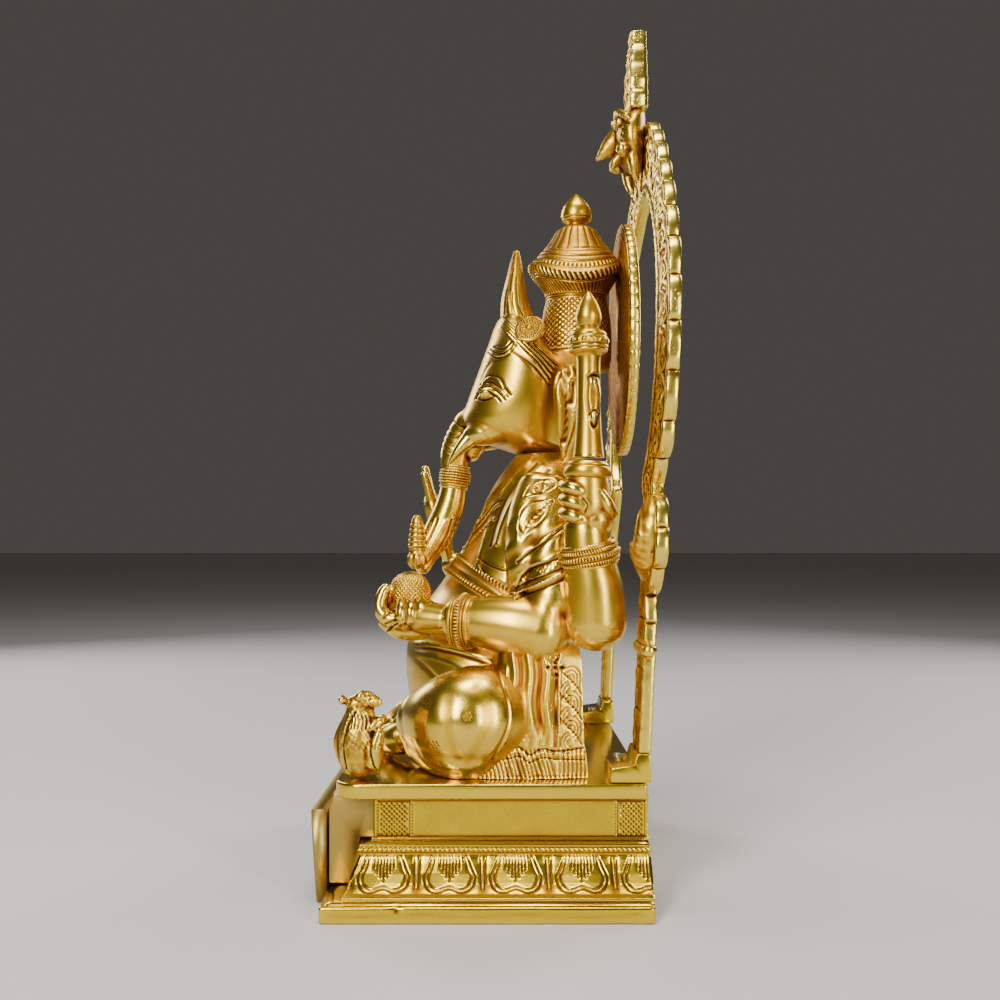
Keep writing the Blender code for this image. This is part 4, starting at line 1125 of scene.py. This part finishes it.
def shawl_marks(form):
    """The cloth over the shoulder: two chased leaves, slanting folds, a scrolled border and a beaded hem."""
    side = facing(form, 0, 1, 0.05, 0.35)
    form.push(side * 0.35 * np.sin((form.p[:, 2] - 0.72 * form.p[:, 1]) * 0.45) * ease(form.p[:, 2], 168, 180)
              * (1 - ease(form.p[:, 2], 200, 212)) * (form.p[:, 1] < 40))
    marks = Marks(form, (1, 2), facing(form, 0, 1, 0.05, 0.35))
    marks.lines(
        ([(33.3, 198.6), (24.5, 192.1), (16.4, 186.1), (9.3, 180.6)], 0.6, 0.6),
        ([(33.8, 200.3), (25.1, 194.3), (16.9, 188.3), (9.3, 182.8)], 1.1, -0.35),
        ([(33.8, 183.9), (25.6, 180.6), (17.5, 177.4), (11.5, 171.9), (8.7, 166.5)], 0.6, 0.6),
        ([(33.8, 186.1), (25.6, 182.8), (16.9, 179.5), (10.4, 174.1)], 1.0, -0.3),
        ([(33.8, 174.6), (24.5, 170.8), (15.3, 167.0), (7.6, 163.2)], 1.5, -0.9),
        ([(33.8, 171.4), (24.5, 167.5), (15.3, 163.7), (8.7, 161.0)], 0.5, 0.5),
        ([(33.8, 177.9), (24.5, 174.1), (15.3, 170.3), (8.2, 166.5)], 0.5, 0.5),
        ([(9.3, 192.6), (9.3, 199.2), (10.9, 205.2)], 0.8, -0.35), count=36)
    leaf = [(10.4, 203.5), (12.0, 209.0), (16.9, 212.8), (22.9, 214.5), (28.9, 215.0), (26.7, 208.5),
            (21.8, 202.5), (16.4, 197.5), (13.1, 195.9), (10.4, 199.2), (10.4, 203.5)]
    marks.line(leaf, 0.42, 0.42, count=48)
    marks.line([(13.1, 198.1), (17.5, 204.6), (22.9, 210.1), (28.4, 213.9)], 0.4, 0.35)
    for k in range(7):
        t = k / 6
        x, y = 526 + 22 * t, 527 - 23 * t
        marks.line(strokes(x, y, ((0, 0), (-1.5, -4), (1, -6))), 0.3, 0.22)
        marks.line(strokes(x, y, ((0, 0), (4, -1), (6, -3))), 0.3, 0.22)
    upper = [(13.1, 216.6), (16.4, 222.1), (21.8, 225.4), (28.4, 226.4), (30.5, 223.2), (26.2, 219.9),
             (19.6, 217.7), (13.1, 216.6)]
    marks.line(upper, 0.42, 0.42, count=40)
    for centre, turn in (((19.6, 221.0), 1), ((25.6, 223.2), -1)):
        marks.line([(centre[0] + (0.6 + 0.5 * a) * math.cos(turn * a),
                     centre[1] + (0.6 + 0.5 * a) * math.sin(turn * a))
                    for a in np.linspace(0, 6.5, 16)], 0.4, 0.4)
    for k in range(5):
        t = (k + 0.5) / 5
        x, y = 520 + 41 * t, 580 - 19 * t
        marks.line(strokes(x, y, ((-4, 2), (-2, -3), (2, -3), (2, 1), (0, 1), (0, -1))), 0.36, 0.36)
    marks.strike()
    beads = Marks(form, (1, 2), facing(form, 0, 1, 0.05, 0.35))
    beads.dots([(33.8, 174.6), (24.5, 170.8), (15.3, 167.0), (7.6, 163.2)], 1.9, 0.75, -0.75)
    beads.strike()


CHART = (500, 543, 191, 0.545)


def strokes(x, y, steps):
    """Points a few strokes from a place on the shawl, read off its chart, where y runs down."""
    chart_x, chart_y, height, unit = CHART
    return [((x + dx - chart_x) * unit, height + (chart_y - y - dy) * unit) for dx, dy in steps]


def make_belt():
    """The band of two beaded rows about the waist, rising to the front."""
    levels = ((151, -35, 61.4, 66.4), (155, -32.5, 61.8, 66.4), (164, -27.5, 61.8, 65.0),
              (168, -24.5, 60.9, 63.4))
    path = curve_points(levels, 60)
    a = circle(900)

    def ring(level, lift):
        z, front, back, half = level
        return hoop(a, half + lift, z, 0, (front + back) / 2, (back - front) / 2 + lift)

    rows = []
    for h, level in zip(np.linspace(0, 16.6, 60), path):
        lift = 0.9 * bell(h - 1.2, 0.9) + 0.9 * bell(h - 15.2, 0.9) + 0.7 * bell(h - 8.0, 0.8)
        lift = lift + 0.9 * (0.5 + 0.5 * np.cos(a * 130)) * (bell(h - 4.6, 1.1) + bell(h - 11.6, 1.1)) - 0.7
        rows.append(ring(level, lift))
    rows += [ring(level, -6) for level in path[::-6]]
    form = woven(np.array(rows), close_u=True)
    form.p[:, 2] += 0.6 * np.maximum(5.0 - form.p[:, 1], 0.0)
    finish(form, "belt_skin", RELIEF, "belt", rounds=5)


def make_front_arms():
    form = clay([limb(((77, 22, 143, 19.5), (76, 6, 146, 17.2), (72, -13, 148, 13.7), (66, -23, 149, 11.5)),
                      sides=64,
                      steps=60), ball((78, 25, 150), (16, 13, 20)),
                 limb(((57, 27, 216, 15), (69, 29, 190, 15), (77, 29, 160, 15.5)), sides=64, steps=50),
                 limb(((58, 20, 221, 11), (63, 17, 206, 12.5), (67, 15.5, 188, 13), (69, 15, 170, 11.5)),
                      sides=64,
                      steps=50)], 0.7, 8)
    form.relax(12, 0.6)
    shawl_marks(form)
    finish(form, "front_left_arm_skin", FIGURE, "front_left_arm", rounds=14)
    finish(sleeve((71.5, -19.5, 147.8), (0.33, 1, -0.02), 15.1, 12, 11, beads=50, bead_size=1.0),
           "front_left_bangle_skin", RELIEF, "front_left_bangle", rounds=5)
    other = clay([limb(((74, 22, 146, 16.5), (70, 2, 153, 14.5), (62, -20, 167, 11.5), (56, -30, 177, 9.5)),
                       side=-1,
                       sides=64, steps=60),
                  limb(((57, 27, 216, 15), (69, 29, 190, 15), (77, 26, 162, 14.5)), side=-1,
                       sides=64, steps=50)],
                 0.8, 10)
    finish(other, "front_right_arm_skin", FIGURE, "front_right_arm", rounds=14)
    finish(sleeve((-60.5, -23, 170), (0.45, -0.75, 0.75), 13.5, 9, 9.5, beads=46, bead_size=0.9),
           "front_right_bangle_skin", RELIEF, "front_right_bangle", rounds=5)


def make_hands():
    parts = [limb(((63, -31, 148.5, 10.2), (57, -42, 149, 12.0), (51, -52, 150, 11.4), (48, -58, 151.5, 9.0)),
                  sides=48, steps=36, flat=0.8)]
    for x, y, z in ((59, -2.5, 2), (53.4, -0.6, 1), (47.4, 0, 0), (41.4, 0.6, -1)):
        parts.append(limb(((x + 2, -50 + y, 146, 4.6), (x, -60.5 + y, 147 + z, 4.4),
                           (x - 1.6, -65.0 + y, 153 + z, 3.9),
                           (x - 2, -63.4 + y, 161 + z, 3.2), (x - 2, -61.4 + y, 164 + z, 2.6)),
                          sides=28, steps=36))
    for k, y in enumerate((-55.0, -49.6, -44.2, -38.8)):
        parts.append(limb(((65.0, y, 148, 3.0), (64.6, y, 153.4 - 0.3 * k, 3.0),
                           (60.5, y - 0.6, 157.2 - 0.4 * k, 2.9),
                           (55.6, y - 1.0, 158.4 - 0.4 * k, 2.2)), sides=24, steps=24))
    parts.append(limb(((58, -44, 142, 5.6), (58, -56, 141.5, 4.8), (55, -65.5, 146, 3.4)),
                      sides=28, steps=20))
    hand = clay(parts, 0.6, 4)
    marks = Marks(hand, (1, 2), facing(hand, 0, 1))
    for path in ([(-65.0, 140.0), (-61.1, 143.4), (-57.1, 146.2), (-53.8, 148.4)],
                 [(-65.5, 149.5), (-61.1, 152.3), (-56.6, 154.6)],
                 [(-63.9, 145.6), (-59.9, 147.9), (-56.6, 148.4)]):
        marks.line(path, 0.6, 0.6)
    for k in range(3):
        marks.dot((-55.5, 144.5), 1.6 + k, 0.15)
    marks.strike()
    hand.p[:, 1] = np.maximum(hand.p[:, 1], -69.8)
    finish(hand, "front_left_hand_skin", FIGURE, "front_left_hand", rounds=9)

    def hatch(a, h):
        u = np.mod(a * 13 / math.pi + h * 0.36, 1) - 0.5
        v = np.mod(a * 13 / math.pi - h * 0.36, 1) - 0.5
        return -0.4 * np.maximum(bell(u, 0.16), bell(v, 0.16)) * fade(h, 152, 172.5)

    sweet = lathe(((3, 151), (8, 153), (11, 157.5), (12, 162.5), (10.8, 168), (7.4, 172.4), (2.6, 174.7)),
                  (45, -51.5),
                  420, 150, hatch)
    finish(sweet, "sweet_skin", FIGURE, "sweet", rounds=5)
    parts = [limb(((54.5, -35, 184, 8.3), (53, -39.5, 200, 12.6), (52, -43.5, 214, 12.2)), side=-1,
                  sides=48, steps=30,
                  flat=0.55, up=(0, 1, 0))]
    for k in range(4):
        x, top = 44 + k * 5.6, (237, 241, 240, 234)[k]
        parts.append(limb(((x, -43, 212, 3.6), (x, -46.4, 225, 3.3), (x * 0.99, -49.4, top - 1, 2.6)),
                          side=-1, sides=24,
                          steps=20))
    parts.append(limb(((62, -39, 200, 3.8), (66, -41, 208, 3.2), (67, -42.5, 214, 2.4)), side=-1,
                      sides=24, steps=16))
    palm = clay(parts, 0.6, 4)
    lines = Marks(palm, (0, 2), facing(palm, 1, -1))
    lines.line([(-44, 205), (-52, 208), (-61, 206)], 0.6, 0.5)
    lines.line([(-46, 199), (-54, 201), (-60, 199)], 0.6, 0.4)
    for r in (0.1, 3.0):
        lines.line(arc(-53, 203, r, 0, 6.2, 12), 0.6, 0.5)
    lines.strike()
    finish(palm, "front_right_hand_skin", FIGURE, "front_right_hand", rounds=9)


def make_rear_arms():
    form = clay([limb(((90, 51, 149, 16.5), (91.5, 50, 166, 15.5), (92.5, 47, 184, 13.2),
                       (92.5, 46, 198, 12.3)),
                      sides=64, steps=60),
                 limb(((60, 42, 214, 13.5), (70, 47, 190, 14), (80, 50, 162, 14.5)), sides=64, steps=50)],
                0.8, 10)
    # The rear arms are darkened a little with painted shade.
    finish_pair(form, "rear_SIDE_arm", FIGURE, "rear_SIDE_arm", rounds=14, painted_lighting_offset=0.03)
    cuff = sleeve((92.3, 47.5, 185), (0.14, -0.2, 1), 16.0, 14.0, 11, beads=60, bead_size=1.0, rope=64,
                  dome=2.0)
    finish_pair(cuff, "rear_SIDE_armlet", RELIEF, "rear_SIDE_armlet", rounds=5)
    parts = [limb(((92.5, 46, 202, 11.6), (93, 46, 212, 13.0), (93, 46.2, 222, 11.6)), sides=48, steps=30)]
    for k in range(3):
        z = 219.5 - 7.2 * k
        parts.append(limb(((95.5, 33.6, z + 2, 3.2), (101.0, 36.4, z + 0.6, 3.4), (102.8, 40.5, z - 1.0, 3.2),
                           (102.4, 44.5, z - 3.0, 2.4)), sides=28, steps=30))
    parts.append(limb(((98, 57.6, 206, 4.4), (100.8, 55.0, 212, 4.0), (101.6, 51.6, 217, 3.2)),
                      sides=28, steps=24))
    parts.append(ball((96, 50, 203), (9.5, 10, 9)))
    hand = clay(parts, 0.6, 4)
    marks = Marks(hand, (1, 2), facing(hand, 0, 1))
    for path in ([(34.3, 202.4), (38.4, 201.4), (42.6, 203.5)],
                 [(44.2, 207.1), (45.2, 210.7), (43.1, 213.9)]):
        marks.line(path, 0.7, 0.5)
    marks.strike()
    finish_pair(hand, "rear_SIDE_hand", FIGURE, "rear_SIDE_hand", rounds=9)
    ring = sleeve((93, 46.3, 228.5), (0, 0.05, 1), 12.8, 11.6, 8.4, beads=0, dome=3.0)
    finish_pair(ring, "rear_SIDE_bangle", FIGURE, "rear_SIDE_bangle", rounds=6)

    def collar(a, h):
        out = 0.5 * (0.5 + 0.5 * np.cos(a * 22)) * bell(h - 297.6, 1.0)
        for ring_at in (293.4, 295.4, 300.2):
            out = out - 0.45 * bell(h - ring_at, 0.4)
        return out - 0.4 * bell(h - 305.2, 0.4)

    staff = lathe(((8.5, 236.2), (7.4, 246), (6.4, 262), (6.2, 280), (6.4, 288), (7.2, 290.5), (10.2, 292.3),
                   (10.7, 297), (9.4, 301.8), (6.2, 304.2), (5.9, 305.4), (6.9, 310), (6.2, 314),
                   (4.4, 318.6),
                   (2.2, 322), (0.8, 323.8)), (93, 46.8), 200, 260, collar)
    loop = Marks(staff, (1, 2), facing(staff, 0, 1))
    outline = [(46.0, 277.8), (49.2, 279.1), (52.8, 277.8), (54.4, 272.1), (53.9, 264.8), (51.8, 257.4),
               (50.2, 252.2), (48.1, 253.3), (46.6, 259.5), (45.5, 267.9), (46.0, 277.8)]
    loop.line(outline, 0.9, 0.8, count=50)
    loop.line([(49.2, 275.2), (51.3, 270.0), (50.7, 263.2), (48.7, 256.4)], 2.2, -1.0)
    loop.line([(47.1, 258.5), (49.2, 260.6), (51.3, 258.5)], 0.6, 0.6)
    loop.strike()
    finish_pair(staff, "staff_SIDE", FIGURE, "staff_SIDE", rounds=8)


def make_legs():
    form = clay([limb(((50, 18, 97, 26.6), (70, 2, 97, 28.0), (84, -20, 96, 27.8), (66, -38, 92, 20)),
                      sides=96, steps=90),
                 limb(((62, 6, 82, 16), (82, -14, 84, 22), (83, -24, 84, 21.5), (66, -38, 82, 16)),
                      sides=96, steps=60)],
                0.8, 14)
    form.p[:, 2] = np.maximum(form.p[:, 2], ON_DECK)
    marks = Marks(form, (1, 2), facing(form, 0, 1, 0.1, 0.4))
    for at in ((-17.0, 102.3), (-37.4, 107.9), (-34.0, 86.3)):
        marks.dot(at, 0.6, 0.45)
        for k in range(6):
            a = k * math.pi / 3
            marks.dot((at[0] + 1.9 * math.cos(a), at[1] + 1.9 * math.sin(a)), 0.6, 0.45)
    marks.lines(
        ([(-1.6, 124.2), (1.6, 114.9), (4.1, 105.6), (4.1, 97.3), (0.5, 88.0), (-4.1, 78.7)], 0.9, 0.3),
        ([(0.0, 124.2), (3.1, 114.9), (5.7, 105.6), (5.7, 97.3), (2.6, 88.0)], 1.2, -0.3),
        ([(-27.8, 110.0), (-27.8, 100.7), (-25.8, 90.4), (-21.7, 80.1)], 3.6, 0.5),
        ([(-11.4, 115.9), (-7.2, 108.7), (-6.2, 98.4), (-10.4, 88.0), (-16.6, 77.6)], 3.8, 0.55),
        ([(-39.2, 106.9), (-41.8, 96.6), (-40.7, 85.3), (-36.1, 76.0)], 3.0, 0.35),
        ([(-46.4, 86.8), (-42.3, 78.1), (-33.0, 72.9), (-21.7, 71.3)], 1.2, 0.25))
    marks.strike()
    # The legs are lightened a little with painted light.
    finish_pair(form, "SIDE_leg", FIGURE, "SIDE_leg", rounds=14, painted_lighting_offset=-0.02)
    toes = [limb(((50, -56, 80, 10.8), (34, -66, 76.5, 8.3), (26, -68, 75, 7.0)),
                 sides=48, steps=36, flat=0.9)]
    for k in range(5):
        toes.append(limb(((28, -66.5 + 0.4 * k, 79.6 - 2.4 * k, 2.3),
                          (18, -67.6 + 0.6 * k, 79.2 - 2.3 * k, 2.0 - 0.05 * k),
                          (15 + 0.6 * k, -67.6 + 0.6 * k, 79.2 - 2.3 * k, 1.6)), sides=20, steps=16))
    foot = clay(toes, 0.6, 3)
    foot.p[:, 2] = np.maximum(foot.p[:, 2], ON_DECK + 0.1)
    rims = Marks(foot, (0, 2), facing(foot, 1, -1))
    rims.line([(44, 90), (46, 80), (45, 70)], 1.2, -0.9)
    rims.dots([(41, 90), (43, 80), (42, 70)], 2.2, 0.8, -0.8)
    rims.strike()
    finish_pair(foot, "SIDE_foot", FIGURE, "SIDE_foot", rounds=9)


FAN_LEVELS = ((67.4, -24, 46.6, 101), (71, -19, 46.4, 100.8), (76, -11, 45.8, 100.4), (84, -5, 45, 99.8),
              (100, -2, 44, 98),
              (118, -2, 44, 95), (130, -1, 43.4, 92), (135.8, 0, 42, 89))


def make_fans():
    """The cloth over the hip: deep pleats, a scrolled border behind, a hem and a combed fringe."""
    rows = []
    for z, front, back, out in curve_points(FAN_LEVELS, 150):
        t = np.linspace(0, 1, 190)
        y = front + (back - front) * t
        x = out - 3 + 3 * np.sin(math.pi * t)
        wave = 0.5 * math.sin(z * 0.22)
        place = (y / 0.523 + 3) / 89
        soft = ease(z, 88, 98)
        x = x - 7.0 * (1 - ease(t, 0.0, 0.14))
        for at, width, depth in ((0.12, 0.03, 1.2), (0.26, 0.035, 2.6), (0.48, 0.034, 2.6),
                                 (0.665, 0.02, 1.0)):
            x = x - depth * bell(place - at - 0.03 * wave, width) * (0.25 + 0.75 * soft)
        for at, width, lift in ((0.19, 0.03, 0.9), (0.37, 0.05, 1.6), (0.57, 0.05, 1.4)):
            x = x + lift * bell(place - at - 0.03 * wave, width) * (0.3 + 0.7 * soft) - 0.4
        fringe = 1 - ease(z, 82, 84)
        slant = (z - 68) * 0.3 * (1 - ease(place, 0.6, 0.75))
        x = x - 0.5 * (0.5 + 0.5 * np.cos(2 * math.pi * (y + slant) / 2.25)) * fringe
        x = x - 0.5 * bell(z - 68.6, 0.8)
        ring = list(zip(x, y, np.full(190, z)))
        ring += [(out - 9, back, z), (out - 15, back, z), (out - 15, front, z), (out - 9, front, z)]
        rows.append(ring)
    form = woven(np.array(rows))
    marks = Marks(form, (1, 2), facing(form, 0, 1, 0.2, 0.6))
    marks.lines(
        ([(-6.3, 83.2), (2.1, 81.7), (9.9, 83.8), (15.7, 80.1), (22.5, 83.2), (29.8, 81.7), (45.0, 83.2)],
         0.5, 0.45),
        ([(-7.3, 81.1), (2.1, 79.6), (9.9, 81.7), (15.7, 78.0), (22.5, 81.1), (29.8, 79.6), (45.0, 80.1)],
         0.8, -0.45),
        ([(-8.4, 79.0), (2.1, 77.5), (9.9, 79.0), (15.7, 75.9), (22.5, 78.5), (29.8, 77.5), (45.0, 77.0)],
         0.5, 0.45),
        ([(30.3, 123.5), (29.8, 108.9), (29.3, 93.2), (28.8, 83.8)], 0.7, 0.45),
        ([(31.9, 123.5), (31.4, 108.9), (30.9, 93.2), (30.3, 83.8)], 0.7, -0.5),
        ([(44.5, 119.3), (45.0, 103.6), (45.0, 85.3)], 0.6, 0.6), count=40)
    for k in range(3):
        z = 119 - 13.0 * k
        for r in (1.8, 3.6, 5.2):
            marks.line(arc(37.5, z, r, -1.2, 2.6, 12, 1.25), 0.45, 0.26)
            marks.line(arc(37.0, z - 7, -r, -1.3, 1.6, 10, 1.1), 0.45, 0.26)
        marks.line([(31.5, z + 6), (35, z + 2), (40, z - 3), (43, z - 8)], 0.4, 0.4)
    marks.strike()
    rng = np.random.default_rng(3)
    for y, z in zip(rng.uniform(24, 36, 14), rng.uniform(121, 134, 14)):
        near = bell(np.hypot(form.p[:, 1] - y, form.p[:, 2] - z), rng.uniform(0.6, 1.1))
        form.p[:, 0] -= 2.0 * near * (form.p[:, 0] > 84)
    # The hip cloths are lightened with painted light.
    finish_pair(form, "SIDE_cloth_fan", RELIEF, "SIDE_cloth_fan", rounds=7, painted_lighting_offset=-0.09)


def make_bud():
    def cone(a, h):
        return 0.22 * math.sin(h * 2.0) * fade(h, 188, 203) + 0.35 * np.cos(a * 7) * fade(h, 175, 184)

    bud = lathe(((3.0, 175.4), (5.4, 178), (5.9, 182), (4.8, 186), (5.4, 189.6), (5.0, 195), (4.0, 202),
                 (2.6, 206.6),
                 (0.8, 208.2)), (9, -50.2), 150, 150, cone)
    finish(bud, "trunk_bud_skin", FIGURE, "trunk_bud", rounds=6)


def make_mouse():
    parts = [limb(((97, -73, 78.5, 11.3), (97, -74, 90, 10.8), (97, -73.5, 100, 8.2)), sides=64, steps=50),
             limb(((97, -75.5, 106, 5.6), (97, -70, 108.3, 5.2), (97, -65, 107.6, 3.0)), sides=32, steps=24),
             limb(((97, -80, 72, 2.8), (97, -85.2, 86, 2.6), (97, -80, 100, 2.2)), sides=24, steps=40),
             ball((97, -83, 108.5), (4.6, 2.2, 2.6)), ball((93.4, -73, 110.6), (2.2, 2.8, 2.8)),
             ball((100.8, -73, 110.6), (2.2, 2.8, 2.8)), ball((98.6, -62.8, 107.4), (1.4, 1.6, 1.6)),
             limb(((103.5, -66, 78, 5.4), (104.5, -64.6, 86, 4.4), (103.6, -62.8, 92, 3)),
                  sides=24, steps=20),
             limb(((102.6, -67, 95, 3.2), (101.6, -63.2, 97.4, 2.6), (99, -61.5, 98.6, 2.2)),
                  sides=24, steps=16),
             limb(((91, -67, 95, 3.2), (92.4, -63.2, 97.4, 2.6), (95, -61.5, 98.6, 2.2)), sides=24, steps=16)]
    form = clay(parts, 0.62, 3)
    form.p[:, 2] = np.maximum(form.p[:, 2], ON_DECK)
    q = form.p
    fur = np.sin(q[:, 2] * 1.5 + 1.8 * np.sin(q[:, 1] * 0.55)) * np.sin(q[:, 1] * 2.0 + q[:, 2] * 0.5)
    rng = np.random.default_rng(11)
    lumps = rng.normal(0, 1, len(q))
    for _ in range(14):
        lumps = form.around(lumps)
    tail = ease(-q[:, 1], 82, 84.5)
    form.push((0.10 * fur * (q[:, 2] > 84) + 0.9 * lumps * (q[:, 2] < 90)) * (1 - tail))
    marks = Marks(form, (1, 2), facing(form, 0, 0))
    marks.dot((-67.5, 109.6), 0.9, 0.6)
    marks.line([(-80, 74), (-81.6, 86), (-79, 97), (-75.5, 103)], 0.8, 1.0)
    marks.line([(-64, 73), (-67, 84), (-66, 93)], 0.8, 0.9)
    for k in range(6):
        marks.line([(-78 + 2 * k, 103 - 0.4 * k), (-77 + 2 * k, 99), (-77.5 + 2 * k, 95)], 0.45, 0.5)
    marks.strike()
    form.p[:, 1] = np.clip(form.p[:, 1], -87.6, -59.6)
    finish(form, "mouse_skin", RELIEF, "mouse", rounds=8)


THREAD_PITCH = 0.8


def make_screws():
    """The three screws seen from below, slotted heads down."""
    for word, x, y in (("figure_screw", 0.0, 8.0), ("arch_screw_left", 81.5, 63.5),
                       ("arch_screw_right", -81.5, 63.5)):
        rows, a = [], circle(96)
        for r, h in ((0.1, 54.7), (2.4, 54.7), (4.2, 54.75), (4.9, 55.4), (5.0, 58.3), (4.9, 58.6),
                     (2.5, 58.6)):
            slot = 1.2 * (np.abs(r * np.sin(a)) < 0.75) * (h < 55)
            rows.append(hoop(a, r, h + slot, x, y))
        top = 81.6 if word == "figure_screw" else 77.6
        for h in np.linspace(58.7, top, int((top - 58.7) / 0.16)):
            rows.append(hoop(a, 2.35 + 0.28 * np.cos(a - 2 * math.pi * h / THREAD_PITCH), h, x, y))
        finish(woven(np.array(rows)), word + "_skin", STEEL, word, rounds=2)


# ---- everything, then the studio ----------------------------------------------------------------
for make in (make_slab, make_skirt, make_beads, make_neck, make_deck, make_arch, make_halo, make_crown,
             make_crest, make_head, make_ears, make_rosettes, make_torso, make_belt, make_front_arms,
             make_hands, make_rear_arms, make_legs, make_fans, make_bud, make_mouse, make_screws):
    make()


def paper(name, colour, rough):
    mat = bpy.data.materials.new(name)
    mat.use_nodes = True
    shader = mat.node_tree.nodes["Principled BSDF"]
    shader.inputs["Base Color"].default_value = (*colour, 1)
    shader.inputs["Roughness"].default_value = rough
    return mat


def floor_piece():
    bpy.ops.mesh.primitive_plane_add(size=40.0, location=(0, 0, 0))
    floor = bpy.context.object
    floor.name = "studio_floor"
    floor.data.materials.append(paper("floor_paper", (0.62, 0.60, 0.57), 0.75))


def softbox(name, place, target, size, power, colour=(1, 1, 1)):
    data = bpy.data.lights.new(name, "AREA")
    data.shape = "RECTANGLE"
    data.size, data.size_y = size
    data.energy = power
    data.color = colour
    lamp = bpy.data.objects.new(name, data)
    bpy.context.scene.collection.objects.link(lamp)
    lamp.location = place
    lamp.rotation_euler = (Vector(target) - Vector(place)).to_track_quat("-Z", "Y").to_euler()
    return lamp


def studio():
    """A warm room: paper floor and five soft panels."""
    floor_piece()
    softbox("key_panel", (1.15, -0.55, 0.85), (0, 0, 0.24), (0.35, 0.9), 22)
    softbox("side_strip", (1.1, 0.75, 0.45), (0, 0, 0.22), (0.16, 0.9), 9)
    softbox("top_panel", (0.15, 0.05, 1.5), (0, 0, 0.2), (0.6, 0.35), 12)
    softbox("rim_panel", (-0.9, 0.95, 0.9), (0, 0, 0.25), (0.4, 0.9), 10)
    softbox("far_panel", (-1.0, -0.8, 0.8), (0, 0, 0.2), (0.4, 0.9), 9)
    world = bpy.data.worlds.new("studio_air")
    world.use_nodes = True
    world.node_tree.nodes["Background"].inputs["Color"].default_value = (0.20, 0.185, 0.17, 1)
    world.node_tree.nodes["Background"].inputs["Strength"].default_value = 0.35
    bpy.context.scene.world = world


CAMERA_AT = (0.665, 0.00305, 0.191)
LENS, SENSOR, SHIFT_UP = 38.9, 36.0, 0.043


def camera():
    """A level camera square to the figure's left side."""
    data = bpy.data.cameras.new("side_camera")
    data.lens = LENS
    data.sensor_width = SENSOR
    data.shift_y = SHIFT_UP
    cam = bpy.data.objects.new("side_camera", data)
    bpy.context.scene.collection.objects.link(cam)
    cam.location = CAMERA_AT
    cam.rotation_euler = (math.pi / 2, 0, math.pi / 2)
    bpy.context.scene.camera = cam


studio()
camera()
